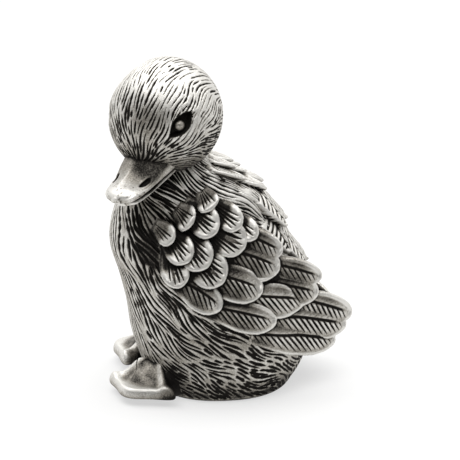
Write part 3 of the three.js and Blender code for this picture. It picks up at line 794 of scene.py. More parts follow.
def head_flow(points, normals, ways):
    """Away from the bill like meridians in front, and in a stream to the nape behind and below."""
    from_bill, to_nape = ways @ PARTING_WAY, ways @ NAPE_WAY
    meridian = unit(ways * from_bill[:, None] - PARTING_WAY)
    pull = NAPE_WAY / (1.001 - to_nape)[:, None] - PARTING_WAY / (1.001 - from_bill)[:, None]
    stream = unit(pull - ways * (pull * ways).sum(axis=1)[:, None])
    behind = np.maximum(smooth_step(-from_bill, 0.1, 0.7), smooth_step(to_nape, 0.05, 0.55))[:, None]
    away = unit(meridian * (1 - behind) + stream * behind) @ HEAD_AXES.T
    sideways = unit(np.cross(normals, away))
    slant = HEAD_WAVE * drift(points, HEAD_WAVE_OVER, seed=3)
    return unit(away * np.cos(slant)[:, None] + sideways * np.sin(slant)[:, None])


def carve_head():
    points, normals = points_of(head.data), normals_of(head.data)
    ways = unit(to_head(points))
    crown = towards(ways, CROWN_WAY, CROWN_SPREAD)
    front = towards(ways, FRONT_WAY, FRONT_SPREAD)
    pitch = HEAD_PITCH + CROWN_PITCH * crown + FRONT_PITCH * front + HEAD_DRIFT * drift(points, 3, seed=4)
    pitch[socket_sink > SOCKET_CLEAR] = 0
    flow, reach = head_flow(points, normals, ways), np.full(len(points), HEAD_REACH)
    strokes = lay_strokes(points, normals, flow, pitch, reach, HEAD_TRIES, seed=41)
    uneven = HEAD_WIDTH_DRIFT * drift(points, 4, seed=8)
    width = HEAD_STROKE_WIDTH * (1 + CROWN_WIDTH * crown + FRONT_WIDTH * front + uneven)
    depth = cut_depth(points, strokes, width, seed=51)
    move_points(head.data, points - normals * (HEAD_STROKE_DEPTH * depth)[:, None])
    # painted dark reflection on the brow and painted shade round the bill's root
    painted_dark = BROW_DARK_REFLECTION * towards(ways, BROW_WAY, BROW_SPREAD)
    painted_dark = painted_dark + FACE_SHADE * towards(ways, FACE_WAY, FACE_SPREAD)
    # painted highlight behind the eye
    bright = CHEEK_HIGHLIGHT * towards(ways, CHEEK_PATCH_WAY, CHEEK_PATCH_SPREAD)
    cuts_and_shade[head.name] = np.maximum(depth + painted_dark - bright, smooth_step(socket_sink, 0.05, 0.4))
    return len(strokes)


print("head down:", carve_head(), "strokes")

# %% [markdown]
# ## Feathers
# Wings, mantle and tail are rows of one thing, a feather, so one Geometry Nodes tree makes them all. Its
# input is a set of points, one for each feather, with the feather's direction and sizes stored on it. The
# tree puts a flat feather on every point, makes the copies real, and then lifts each one from root to tip
# and drops it on a sheet that follows the body, found by a ray. Bending after copying is what lets a long
# feather follow a round flank.

# %% Flat feather
FEATHER_ROWS, FEATHER_COLUMNS = 30, 14
FEATHER_WIDEST = 0.55  # share of the length where the round tip begins
POINTED_WIDEST = 0.4
FEATHER_ROOT = 0.62  # width of the root as a share of the full width
ROUND_TIP = (0.985, 2.4)  # how far the tip closes, and how suddenly
POINTED_TIP = (0.92, 1.6)


def feather_outline(s):
    """Half the width at a share of the length, as a share of half the full width."""
    t = np.clip(s / FEATHER_WIDEST, 0, 1)
    grown = FEATHER_ROOT + (1 - FEATHER_ROOT) * t * t * (3 - 2 * t)
    past = np.clip((s - FEATHER_WIDEST) / (1 - FEATHER_WIDEST), 0, 1)
    return np.where(s < FEATHER_WIDEST, grown, np.sqrt(1 - ROUND_TIP[0] * past ** ROUND_TIP[1]))


def pointed_outline(s):
    """The same for a feather that ends in a point."""
    t = np.clip(s / POINTED_WIDEST, 0, 1)
    past = np.clip((s - POINTED_WIDEST) / (1 - POINTED_WIDEST), 0, 1)
    return (FEATHER_ROOT + (1 - FEATHER_ROOT) * t) * (1 - POINTED_TIP[0] * past ** POINTED_TIP[1])


def flat_feather(outline):
    """A closed leaf of no thickness yet, one long and two wide, with its place stored on every point."""
    s = np.sin(np.linspace(0, math.pi / 2, FEATHER_ROWS + 1))
    a = np.sin(np.linspace(-1, 1, FEATHER_COLUMNS + 1) * math.pi / 2)
    across, along = np.meshgrid(a, s)
    sheet = np.stack([along, across * outline(along), along * 0], axis=-1).reshape(-1, 3)
    size = len(sheet)
    corner = np.arange(size).reshape(FEATHER_ROWS + 1, FEATHER_COLUMNS + 1)
    top = grid_quads(corner).reshape(-1, 4)
    rim = [*corner[:-1, 0], *corner[-1, :-1], *corner[:0:-1, -1], *corner[0, :0:-1]]
    walls = [[p + size, q + size, q, p] for p, q in zip(rim, rim[1:] + rim[:1])]
    faces = top.tolist() + (top[:, ::-1] + size).tolist() + walls
    leaf = new_piece("flat_feather", np.concatenate([sheet, sheet]) / MM, faces)
    keep_value(leaf.data, "s", np.tile(along.ravel(), 2))
    keep_value(leaf.data, "a", np.tile(across.ravel(), 2))
    keep_value(leaf.data, "top", np.repeat([1.0, 0.0], size))
    return leaf


leaves = {outline: flat_feather(outline) for outline in (feather_outline, pointed_outline)}
print("flat feathers:", [len(leaf.data.polygons) for leaf in leaves.values()], "faces")

# %% Feather tree
FEATHER_INPUTS = {
    "Feather": "NodeSocketObject",
    "Sheet": "NodeSocketObject",
    "Outward": "NodeSocketVector",
    "Tip drop": "NodeSocketFloat",
    "Metal": "NodeSocketMaterial",
}
RAY_START = 60  # mm outside the sheet
TIP_FROM = 0.75  # share of the length where the tip starts to roll down


def feather_tree():
    tree = bpy.data.node_groups.new("feather_rows", "GeometryNodeTree")
    tree.interface.new_socket("Rows", in_out="INPUT", socket_type="NodeSocketGeometry")
    for name, kind in FEATHER_INPUTS.items():
        tree.interface.new_socket(name, in_out="INPUT", socket_type=kind)
    tree.interface.new_socket("Feathers", in_out="OUTPUT", socket_type="NodeSocketGeometry")
    given = add_node(tree, "NodeGroupInput").outputs

    def stored(name, kind="FLOAT"):
        node = add_node(tree, "GeometryNodeInputNamedAttribute", {"Name": name}, data_type=kind)
        return node.outputs["Attribute"]

    def maths(operation, *values):
        return add_node(tree, "ShaderNodeMath", dict(enumerate(values)), operation=operation).outputs["Value"]

    def vector(operation, inputs):
        return add_node(tree, "ShaderNodeVectorMath", inputs, operation=operation).outputs["Vector"]

    outward = given["Outward"]
    turned = add_node(
        tree, "FunctionNodeAxesToRotation",
        {"Primary Axis": outward, "Secondary Axis": stored("aim", "FLOAT_VECTOR")},
        primary_axis="Z", secondary_axis="X",
    )
    sized = add_node(
        tree, "ShaderNodeCombineXYZ",
        {"X": stored("length"), "Y": maths("MULTIPLY", stored("width"), 0.5), "Z": 1.0},
    )
    shape = add_node(tree, "GeometryNodeObjectInfo", {"Object": given["Feather"]})
    copies = add_node(
        tree, "GeometryNodeInstanceOnPoints",
        {"Points": given["Rows"], "Instance": shape.outputs["Geometry"],
         "Rotation": turned.outputs["Rotation"], "Scale": sized.outputs["Vector"]},
    )
    real = add_node(tree, "GeometryNodeRealizeInstances", {"Geometry": copies.outputs["Instances"]})
    s, a = stored("s"), stored("a")
    lifted = maths("MULTIPLY_ADD", s, maths("SUBTRACT", stored("rise"), stored("root")), stored("root"))
    rolled = add_node(
        tree, "ShaderNodeMapRange",
        {"Value": s, "From Min": TIP_FROM, "From Max": 1.0, "To Max": given["Tip drop"]},
        interpolation_type="SMOOTHSTEP",
    )
    middle = maths("SUBTRACT", lifted, rolled.outputs["Result"])
    arch = maths("MULTIPLY", stored("crown"), maths("SUBTRACT", 1.0, maths("MULTIPLY", a, a)))
    above = maths("ADD", middle, arch)
    below = maths("SUBTRACT", middle, stored("thick"))
    on_top = stored("top")
    height = maths("MULTIPLY_ADD", on_top, maths("SUBTRACT", above, below), below)
    place = add_node(tree, "GeometryNodeInputPosition").outputs["Position"]
    start = vector("MULTIPLY_ADD", {0: outward, 1: (RAY_START * MM,) * 3, 2: place})
    sheet = add_node(tree, "GeometryNodeObjectInfo", {"Object": given["Sheet"]})
    ray = add_node(
        tree, "GeometryNodeRaycast",
        {"Target Geometry": sheet.outputs["Geometry"], "Source Position": start,
         "Ray Direction": vector("SCALE", {0: outward, "Scale": -1.0}), "Ray Length": 2 * RAY_START * MM},
    )
    offset = vector("SCALE", {0: outward, "Scale": height})
    laid = add_node(
        tree, "GeometryNodeSetPosition",
        {"Geometry": real.outputs["Geometry"],
         "Position": vector("ADD", {0: ray.outputs["Hit Position"], 1: offset})},
    )
    metal = add_node(
        tree, "GeometryNodeSetMaterial", {"Geometry": laid.outputs["Geometry"], "Material": given["Metal"]}
    )
    add_node(tree, "NodeGroupOutput", {"Feathers": metal.outputs["Geometry"]})
    return tree


feather_nodes = feather_tree()
print("feather tree:", len(feather_nodes.nodes), "nodes")

# %% Growing feathers
FEATHER_SIZES = ("length", "width", "rise", "root", "crown", "thick")
TIP_DROP = 0.45


def grow_feathers(name, roots, aims, sizes, sheet, outward, outline=feather_outline):
    """Feathers as one mesh: roots are flat points, aims are unit directions, sizes are in millimetres."""
    rows = new_piece(name + "_rows", roots, [])
    aim = rows.data.attributes.new("aim", "FLOAT_VECTOR", "POINT")
    aim.data.foreach_set("vector", aims.astype(np.float32).ravel())
    for size in FEATHER_SIZES:
        keep_value(rows.data, size, sizes[size] * MM)
    keep_value(rows.data, "number", np.arange(len(roots)))
    modifier = rows.modifiers.new("feathers", "NODES")
    modifier.node_group = feather_nodes
    values = {
        "Feather": leaves[outline], "Sheet": sheet, "Outward": outward,
        "Tip drop": TIP_DROP * MM, "Metal": cast_pewter,
    }
    for socket in feather_nodes.interface.items_tree:
        if socket.in_out == "INPUT" and socket.name in values:
            modifier[socket.identifier] = values[socket.name]
    depsgraph = bpy.context.evaluated_depsgraph_get()
    grown = bpy.data.meshes.new_from_object(rows.evaluated_get(depsgraph))
    bpy.data.objects.remove(rows)
    bpy.data.objects.remove(sheet)
    return grown


def sheet_grid(name, first, second, place):
    """A grid mesh whose points are place(p, q) for two ranges of coordinates."""
    p, q = np.meshgrid(first, second, indexing="ij")
    corner = np.arange(p.size).reshape(p.shape)
    return new_piece(name, place(p, q).reshape(-1, 3), grid_quads(corner).reshape(-1, 4))


print("each feather has", len(FEATHER_SIZES), "sizes")

# %% [markdown]
# ## Draping
# Overlapping leaves hide most of their own faces, so the casting is a fine grid that is draped over them: a
# ray from outside finds the top of the feathers at every grid point, a ray from inside finds their
# underside, and walls close the two skins along the outline. Each ray also tells which feather it met, and
# where on that feather.

# %% Draping a grid
PLACES = ("s", "a", "top", "length", "width", "crown", "number")


def mesh_search(mesh):
    """The triangles of a mesh, its points, and a search tree over them."""
    mesh.calc_loop_triangles()
    corners = points_of(mesh)
    triangles = read_array(mesh.loop_triangles, "vertices", 3, np.int32)
    return corners, triangles, BVHTree.FromPolygons(corners.tolist(), triangles.tolist())


def cast_grid(search, starts, way):
    """Where parallel rays meet a mesh, and the triangles that they meet, -1 for none."""
    hits = [search.ray_cast(start, way) for start in starts.tolist()]
    spots = np.array([hit[0] if hit[0] else (0, 0, 0) for hit in hits], float)
    return spots, np.array([-1 if hit[2] is None else hit[2] for hit in hits])


def whole_quads(met):
    """Which grid squares have all four corners on the mesh, with no two that touch at one corner only."""
    full = met[:-1, :-1] & met[1:, :-1] & met[1:, 1:] & met[:-1, 1:]
    a, b, c, d = full[:-1, :-1], full[1:, :-1], full[:-1, 1:], full[1:, 1:]
    crossing = (a & d & ~b & ~c) | (b & c & ~a & ~d)
    full[:-1, :-1] &= ~crossing
    full[1:, :-1] &= ~crossing
    return full


def draped(name, grown, axis, step):
    """A closed piece over a mesh of feathers, seen along an axis, and the places of its upper points."""
    corners, triangles, search = mesh_search(grown)
    across, along = (axis + 1) % 3, (axis + 2) % 3
    low, high = corners.min(axis=0) - step, corners.max(axis=0) + step
    p, q = np.meshgrid(
        np.arange(low[across], high[across], step), np.arange(low[along], high[along], step), indexing="ij"
    )
    starts = np.zeros((p.size, 3))
    starts[:, across], starts[:, along] = p.ravel(), q.ravel()
    way = np.eye(3)[axis]
    upper, met = cast_grid(search, starts + way * high[axis], -way)
    lower, _ = cast_grid(search, starts + way * low[axis], way)
    number = np.arange(p.size).reshape(p.shape)
    full = whole_quads((met >= 0).reshape(p.shape))
    used, quads = np.unique(grid_quads(number)[full], return_inverse=True)
    quads = quads.reshape(-1, 4)
    edges = np.stack([quads, np.roll(quads, -1, axis=1)], axis=-1).reshape(-1, 2)
    inside = {tuple(edge) for edge in edges.tolist()}
    size = len(used)
    walls = [[u, u + size, v + size, v] for u, v in edges.tolist() if (v, u) not in inside]
    faces = quads.tolist() + (quads[:, ::-1] + size).tolist() + walls
    made = new_piece(name, np.concatenate([upper[used], lower[used]]), faces)
    return made, places_on(grown, corners, triangles[met[used]], upper[used])


def places_on(grown, corners, chosen, spots):
    """The stored values of a mesh at spots on its triangles."""
    a, b, c = (corners[chosen[:, k]] for k in range(3))
    ab, ac, ap = b - a, c - a, spots - a
    d00, d01, d11 = (ab * ab).sum(1), (ab * ac).sum(1), (ac * ac).sum(1)
    d20, d21 = (ap * ab).sum(1), (ap * ac).sum(1)
    flat = np.maximum(d00 * d11 - d01 * d01, 1e-12)
    v = (d11 * d20 - d01 * d21) / flat
    w = (d00 * d21 - d01 * d20) / flat
    shares = np.stack([1 - v - w, v, w], axis=1)
    place = {}
    for name in PLACES:
        values = read_array(grown.attributes[name].data, "value", 1)
        place[name] = (values[chosen] * shares).sum(axis=1)
    for name in ("length", "width", "crown"):
        place[name] /= MM
    place["number"] = np.round(place["number"])
    return place


print("each draped point knows", len(PLACES), "values of its feather")

# %% [markdown]
# ## Barbs
# Every feather is cut by hand. A short one is a scallop: wedges fan out from its dark root and stop before
# a smooth rim. A long one has a deep shaft line, with slanted barbs below it and faint ones above. On the
# back, the short ones are combed from root to tip instead. All of this is worked out from the place on the
# feather that the draped grid kept.

# %% Cutting barbs
BARB_PITCH = 0.62
COMB_PITCH = 0.5
BARB_DEPTH = 0.3
BARB_SLANT = math.radians(40)  # from the shaft
BARB_SIDE = 0.25  # width of a cut's sloping side, as a share of half the pitch
BARB_END = 0.3  # mm over which a cut runs out at the rim
BARB_TAPER, COMB_TAPER = 1.6, 0.5  # mm from the rim to where a cut is widest
SCALLOP_CUT = (0.75, 0.85)  # how narrow a cut starts at the rim, and how much it widens
QUILL_CUT = (0.85, 0.4)
COMB_CUT = (0.75, 0.35)
UPPER_FAINT = 0.3  # depth of the cuts above a shaft that lies aside
FAN_FOCUS = 0.35  # how far behind its root a scallop's wedges meet, as a share of its length
FAN_PITCH_AT = 0.75  # share of the length where they are a pitch apart
PHASE_START = 40  # keeps the count of barbs above 0
DRAPE_STEP = 0.09
RIM_WIDTH = 0.9
RIM_PLAIN = 0.62  # share of the rim that the cuts leave out
COMB_RIM = 0.2  # what combed feathers have of that
LONG_RIM = 0.65  # width of a long feather's rim, as a share of a short one's
RIM_HEIGHT = 0.14
SHAFT_WIDTH = 0.2
COVERT_TO, QUILL_FROM = 11.0, 12.5  # lengths of the longest covert and the shortest quill
QUILL_BLACK = (0.45, 0.35, 0.1)  # painted shade at the root, where patina also stays, along the upper strip and in the vane
COVERT_MORE = (0.55, 0.4, 0.48)  # the painted shade that a covert has beyond that
# painted shade on feathers, mantle roots, the pad under the feathers and the undersides
FEATHER_BLACK, COMB_BLACK, PAD_SHADE, UNDERSIDE_SHADE = 0.85, 0.45, 0.7, 0.4


def scatter(number):
    """A fixed pseudo-random share for each whole number."""
    return np.modf(np.abs(np.sin(number * 12.9898 + 4.1414)) * 43758.5453)[0]


def barb_phase(place, x, y, aside, long, combed):
    """A count of barbs that grows by one from each barb to the next."""
    focus = FAN_FOCUS * place["length"]
    fan = np.arctan2(y, x + focus) * (FAN_PITCH_AT * place["length"] + focus) / BARB_PITCH
    comb = place["a"] * place["width"] / 2 / COMB_PITCH
    bone = (x - np.abs(aside) / math.tan(BARB_SLANT)) * math.sin(BARB_SLANT) / BARB_PITCH
    return np.where(long, bone, comb if combed else fan) + scatter(place["number"]) + PHASE_START


def barb_cuts(place, long, combed, shaft_aside):
    """How deep each point lies in a cut, from 0 to 1. The shaft lies aside by a share of half the width."""
    half = place["width"] / 2 * (pointed_outline if combed else feather_outline)(place["s"])
    x, y = place["s"] * place["length"], place["a"] * half
    edge = np.minimum((1 - np.abs(place["a"])) * half, (1 - place["s"]) * place["length"])
    aside = y - shaft_aside * half
    phase = barb_phase(place, x, y, aside, long, combed)
    force = scatter(np.floor(phase) * 3.7 + place["number"] * 17 + np.where(long & (aside > 0), 5, 0))
    wave = 1 - np.abs(2 * np.modf(phase)[0] - 1)
    inner = RIM_PLAIN * RIM_WIDTH * (0.6 + 0.8 * force) * (COMB_RIM if combed else 1)
    deep = smooth_step(edge, inner, inner + (COMB_TAPER if combed else BARB_TAPER))
    quill, scallop = (COMB_CUT, COMB_CUT) if combed else (QUILL_CUT, SCALLOP_CUT)
    start, widening = np.where(long[:, None], quill, scallop).T
    narrow = start - widening * deep
    press = 0.5 + 0.5 * force
    cut = smooth_step(wave, narrow, narrow + BARB_SIDE) * smooth_step(edge, inner, inner + BARB_END) * press
    cut = np.where(long & (aside > 0) & (shaft_aside > 0), UPPER_FAINT * cut, cut)
    shaft = np.exp(-(aside / SHAFT_WIDTH) ** 2) * smooth_step(place["s"], 0.93, 0.75)
    return np.where(long, np.maximum(cut, shaft), cut), edge


def feather_patina_and_shade(place, edge, long, combed):
    """Painted shade at a feather's root, under the feather above, where patina also stays, and on a long one
    in its vane, away from the rim, and along its upper strip.
    """
    s, a = place["s"], place["a"]
    if combed:
        return COMB_BLACK * smooth_step(s, 0.4, 0.1)
    short = smooth_step(s, 0.66, 0.46) * (0.75 + 0.25 * smooth_step(place["length"], 3.0, 4.2))
    root = smooth_step(s, 0.45, 0.1)
    upper = smooth_step(a, 0.1, 0.7) * smooth_step(s, 0.95, 0.55)
    vane = smooth_step(edge, 0.25, 0.9) * smooth_step(s, 1.0, 0.6)
    covert = smooth_step(place["length"], QUILL_FROM, COVERT_TO)
    blacks = [
        (black + more * covert) * spot
        for black, more, spot in zip(QUILL_BLACK, COVERT_MORE, (root, upper, vane))
    ]
    return FEATHER_BLACK * np.where(long, np.max(blacks, axis=0), short)


def feathered(name, grown, axis, shaft_from, shaft_aside=0.0, combed=False):
    """The draped and cut casting of a mesh of feathers, in which the ones from a length on have a shaft."""
    made, place = draped(name, grown, axis, DRAPE_STEP)
    mesh = made.data
    move_points(mesh, relax(points_of(mesh), edges_of(mesh), 1))
    points, normals = points_of(mesh), normals_of(mesh)
    size = len(place["s"])
    long = place["length"] > shaft_from
    cut, edge = barb_cuts(place, long, combed, shaft_aside)
    wide = np.where(long, LONG_RIM, 1) * RIM_WIDTH
    rim = smooth_step(edge, wide, 0.4 * wide) * smooth_step(place["s"], 0.35, 0.6)
    points[:size] += normals[:size] * (RIM_HEIGHT * rim - BARB_DEPTH * cut)[:, None]
    move_points(mesh, points)
    black = np.where(place["crown"] > 0, np.maximum(cut, feather_patina_and_shade(place, edge, long, combed)), PAD_SHADE)
    cuts_and_shade[name] = np.concatenate([black, np.full(size, UNDERSIDE_SHADE)])
    return made


print("barbs are", BARB_PITCH, "mm apart")

# %% [markdown]
# ## Wings
# A wing is a casting of its own, with a row of feathers for each row of coverts and quills. Each feather is
# listed by where its tip lies from the wing's shoulder, backwards and upwards, then the way it points, its
# length and its width. The right wing is hidden in the photograph, so it is the left one mirrored, hanging
# a little lower.

# %% Wing rows
WING_SHOULDER = np.array([-7.5, 22.4])  # backwards and upwards
WING_REACH = 24.5
WING_TIP_ASIDE = 3.6
RIGHT_WING_DROOP = 5
SOLDER_GAP = 0.3
WING_ROWS = [  # height of the tips over the flank, and the feathers
    (1.9, [[1.4, 3.0, -36, 3, 3], [4.2, 5.1, -40, 2.6, 3.6], [7.2, 6.9, -60, 2.4, 3.4]]),
    (2.0, [[3.4, 0.2, -52, 4.8, 4.2], [7.8, 4.1, -34, 5.6, 4.4],
           [11.4, 4.5, -32, 5, 3.6], [13.6, 2.7, -38, 4.4, 3]]),
    (1.85, [[1.9, -3.4, -78, 5.4, 4], [6.1, -0.7, -50, 5.8, 4.9], [11.8, 1.6, -28, 6.8, 5]]),
    (1.65, [[8.3, -3, -44, 6.8, 5.4], [16.8, -2.3, -21, 9, 4.8], [17.3, -0.1, -25, 8, 3.8]]),
    (1.45, [[7.9, -6.8, -32, 8, 4.4], [14.1, -4.8, -17, 10, 5],
            [22.8, -7.2, -17, 10, 4.4], [23.4, -5, -21, 10, 3.6]]),
    (1.2, [[16.1, -9.8, -15, 11.5, 4.6], [20.7, -8, -13, 12, 4.8]]),
    (1.1, [[27.4, -13.6, -19, 13, 4.8], [28.3, -12.2, -26, 12, 4.4]]),
    (0.8, [[25.7, -15.6, -17, 14, 4.8]]),
]
WING_PAD = [22, -7.6, -21, 23, 6.8]  # the plain leaf under them, listed like a feather
SHEET_STEP = 0.5  # mm between the points of a sheet
WING_SHEET_BACK, WING_SHEET_UP = np.arange(-16, 27, SHEET_STEP), np.arange(0, 36, SHEET_STEP)
PAD_PROUD, PAD_THICKNESS = 0.35, 2.4
FEATHER_THICKNESS = 1.0
FEATHER_SINK = -0.5  # height of a feather's root over the sheet
FEATHER_CROWN = 0.08  # share of the width


def flank_at(y, z):
    middle, depth, half = body_section(z)
    return half * section_fall((y - middle) / depth)


def wing_sheet(y, z):
    """Against the flank in front, folding in behind the rump."""
    share = (y - WING_SHOULDER[0] / 2) / WING_REACH
    flank = BODY_WIDTH / 2 * profile(FLANK_LINE, z)
    folded = flank * (1 - (1 - 2 * WING_TIP_ASIDE / BODY_WIDTH) * share ** 2)
    return np.stack([np.maximum(folded, flank_at(y, z)) + SOLDER_GAP, y, z], axis=-1)


def wing_mesh(name, droop):
    feathers = np.array([feather for _, row in WING_ROWS for feather in row] + [WING_PAD], float)
    rise = np.array([height for height, row in WING_ROWS for _ in row] + [PAD_PROUD])
    heading = np.radians(feathers[:, 2] - droop)
    turned = math.radians(-droop)
    along = feathers[:, 0] * math.cos(turned) - feathers[:, 1] * math.sin(turned)
    up = feathers[:, 0] * math.sin(turned) + feathers[:, 1] * math.cos(turned)
    aims = np.stack([heading * 0, np.cos(heading), np.sin(heading)], axis=1)
    tips = np.stack([along * 0, along + WING_SHOULDER[0], up + WING_SHOULDER[1]], axis=1)
    pad = np.arange(len(feathers)) == len(feathers) - 1
    sizes = {
        "length": feathers[:, 3],
        "width": feathers[:, 4],
        "rise": rise,
        "root": np.where(pad, PAD_PROUD, FEATHER_SINK),
        "crown": np.where(pad, 0, FEATHER_CROWN * feathers[:, 4]),
        "thick": np.where(pad, PAD_THICKNESS, np.minimum(FEATHER_THICKNESS, feathers[:, 3] / 4)),
    }
    sheet = sheet_grid(name + "_sheet", WING_SHEET_BACK, WING_SHEET_UP, wing_sheet)
    return grow_feathers(name, tips - aims * feathers[:, 3:4], aims, sizes, sheet, (1, 0, 0))


def mirror_mesh(mesh):
    points = points_of(mesh)
    move_points(mesh, points * np.array([-1, 1, 1]))
    mesh.flip_normals()


WING_SHAFT_FROM, WING_SHAFT_ASIDE = 7.4, 0.3
left_wing, right_wing = [
    feathered(side + "_wing_casting", wing_mesh(side + "_wing", droop), 0, WING_SHAFT_FROM, WING_SHAFT_ASIDE)
    for side, droop in (("left", 0), ("right", RIGHT_WING_DROOP))
]
mirror_mesh(right_wing.data)
print("wings:", len(left_wing.data.vertices), "and", len(right_wing.data.vertices), "points")

# %% [markdown]
# ## Mantle and tail
# The feathers down the back are cast with the body, and the tail is a short fan below the wing tips. Both
# use the same tree, with another sheet, another outward direction and a leaf that ends in a point.

# %% Mantle
MANTLE_FAN = 4  # degrees outwards for each millimetre aside
MANTLE_ROWS = [  # height of the tips, count, spacing, length, width, and height over the back
    (32.6, 2, 3.0, 2.2, 3.0, 2.5), (31.3, 3, 3.2, 2.8, 3.0, 2.0), (29.2, 2, 3.6, 3.6, 3.6, 1.6),
    (26.8, 3, 3.8, 4.4, 4.4, 0.4), (24.0, 3, 3.6, 6.2, 5.0, 1.8), (20.6, 4, 3.8, 6.4, 5.0, 0.8),
    (17.4, 3, 4.0, 7.6, 5.4, 1.5),
]
MANTLE_SHAFT_FROM = 5.0
MANTLE_THICKNESS = 1.3
MANTLE_SHEET_ASIDE, MANTLE_SHEET_UP = np.arange(-9, 9.1, SHEET_STEP), np.arange(8, 36.1, SHEET_STEP)


def back_sheet(x, z):
    middle, depth, half = body_section(z)
    return np.stack([x, middle + depth * section_fall(x / half), z], axis=-1)


def mantle_mesh():
    feathers = np.array([
        [(k - (count - 1) / 2) * spacing, height, length, width, rise]
        for height, count, spacing, length, width, rise in MANTLE_ROWS for k in range(count)
    ])
    aside, height, length, width, rise = feathers.T
    heading = np.radians(MANTLE_FAN * aside - 90)
    aims = np.stack([np.cos(heading), heading * 0, np.sin(heading)], axis=1)
    tips = np.stack([aside, aside * 0, height], axis=1)
    sizes = {
        "length": length, "width": width, "rise": rise,
        "root": np.full(len(aside), FEATHER_SINK), "crown": FEATHER_CROWN * width,
        "thick": np.full(len(aside), MANTLE_THICKNESS),
    }
    sheet = sheet_grid("mantle_sheet", MANTLE_SHEET_ASIDE, MANTLE_SHEET_UP, back_sheet)
    roots = tips - aims * length[:, None]
    return grow_feathers("mantle", roots, aims, sizes, sheet, (0, 1, 0), pointed_outline)


mantle = feathered("mantle_feathers", mantle_mesh(), 1, MANTLE_SHAFT_FROM, combed=True)
print("mantle:", len(mantle.data.vertices), "points")

# %% Tail
TAIL_HEIGHT, TAIL_LENGTH, TAIL_SPREAD, TAIL_WIDTH = 7.0, 4.4, 2.4, 3.0
TAIL_ROOTED, TAIL_ARCH, TAIL_ROUND = 3.0, 9.6, 1.3
TAIL_DROOP, TAIL_FAN = math.radians(20), 14
TAIL_RISE, TAIL_EDGE_FALL, TAIL_THICKNESS = 0.9, 0.5, 0.7
TAIL_SHARES = np.array([-1, -0.5, 0, 0.5, 1])  # one for each feather, from side to side
TAIL_SHEET_ASIDE, TAIL_SHEET_BACK = np.arange(-10, 10.1, SHEET_STEP), np.arange(4, 24, SHEET_STEP)
TAIL_ROOT = float(RUMP_REACH * profile(RUMP_LINE, TAIL_HEIGHT))


def tail_sheet(x, y):
    along = (y - TAIL_ROOT) / math.cos(TAIL_DROOP)
    return np.stack([x, y, TAIL_HEIGHT - x * x / (2 * TAIL_ARCH) - along * math.sin(TAIL_DROOP)], axis=-1)


def tail_mesh():
    share = TAIL_SHARES
    heading = np.radians(90 - share * TAIL_FAN)
    aims = np.stack([np.cos(heading), np.sin(heading), heading * 0], axis=1)
    reach = TAIL_LENGTH - TAIL_ROUND * share ** 2
    tips = np.stack([share * TAIL_SPREAD, TAIL_ROOT + reach * math.cos(TAIL_DROOP), share * 0], axis=1)
    every = np.ones(len(share))
    sizes = {
        "length": every * (TAIL_LENGTH + TAIL_ROOTED), "width": every * TAIL_WIDTH,
        "rise": TAIL_RISE - TAIL_EDGE_FALL * np.abs(share), "root": every * FEATHER_SINK,
        "crown": every * FEATHER_CROWN * TAIL_WIDTH, "thick": every * TAIL_THICKNESS,
    }
    sheet = sheet_grid("tail_sheet", TAIL_SHEET_ASIDE, TAIL_SHEET_BACK, tail_sheet)
    roots = tips - aims * sizes["length"][:, None]
    return grow_feathers("tail", roots, aims, sizes, sheet, (0, 0, 1), pointed_outline)


tail = feathered("tail_casting", tail_mesh(), 2, MANTLE_SHAFT_FROM, combed=True)
for leaf in leaves.values():
    bpy.data.objects.remove(leaf)
print("tail:", len(tail.data.vertices), "points")

# %% [markdown]
# ## Bill
# The bill is smooth, and its tip is the brightest part, as painted shade darkens its root and its sides. Each
# jaw is lofted along the bill in the head's own axes: a station says how far it has come from root to tip,
# and the section there is a low arch. In the middle of the bill the arch turns into a ridge with flat sides.
# The upper jaw also gets rolled edges and two nostrils.

# %% Bill
BILL_ALONG, BILL_AROUND, BILL_END_RINGS = 120, 240, 8
BILL_STATIONS = np.array([0, 0.18, 0.36, 0.54, 0.72, 0.86, 0.95, 1])
BILL_SPREAD = np.array([1, 0.95, 0.88, 0.81, 0.73, 0.63, 0.47, 0.2])
BILL_TOP = np.array([1, 0.72, 0.48, 0.33, 0.29, 0.29, 0.24, 0.16])
BILL_BEHIND = 1.6  # how far the jaws reach back into the head
BILL_ROLL = 0.3  # how far the rounded end stands out
MOUTH_DROP = 0.5
UPPER_WIDTH, UPPER_LENGTH, UPPER_UNDER = 8.6, 9.0, 0.12
UPPER_EDGE, UPPER_HEIGHT = 0.5, 3.2
LOWER_WIDTH, LOWER_LENGTH, LOWER_UNDER = 7.2, 8.0, -1.1
MOUTH_DIP, MOUTH_TURN_UP = 0.6, 0.5
ARCH_ROUND, JAW_ROUND = 0.8, 0.12  # exponent of the arch, and mm that the underside bulges
CULMEN_SHARE = 0.6  # how far the arch of the section turns into a ridge with flat sides
CULMEN_ASIDE = -0.22  # the ridge leans to the right, in shares of half the width
CULMEN_LEFT, CULMEN_RIGHT = 1.15, 0.9  # exponents of its two sides, hollow above 1 and full below
NOSTRIL_MIDDLE, NOSTRIL_ASIDE, NOSTRIL_REACH, NOSTRIL_SPLAY = -0.25, 2.65, 4.6, math.radians(14)
NOSTRIL_LENGTH, NOSTRIL_WIDTH, NOSTRIL_DEPTH = 2.1, 0.8, 0.45
BILL_RIM_HEIGHT, BILL_RIM_AT, BILL_RIM_WIDTH = 0.12, 0.95, 0.04  # mm, then shares of half the width
# painted shade at the root and on the sides; the pits near the tip and the even tone are the metal's own
BILL_ROOT_SHADE, BILL_SIDE_SHADE, PIT_BLACK, TIP_BLACK = 0.68, 0.4, 0.45, 0.08


def bill_ridge(s):
    return CULMEN_SHARE * smooth_step(s, 0.3, 0.55) * smooth_step(s, 0.9, 0.6)


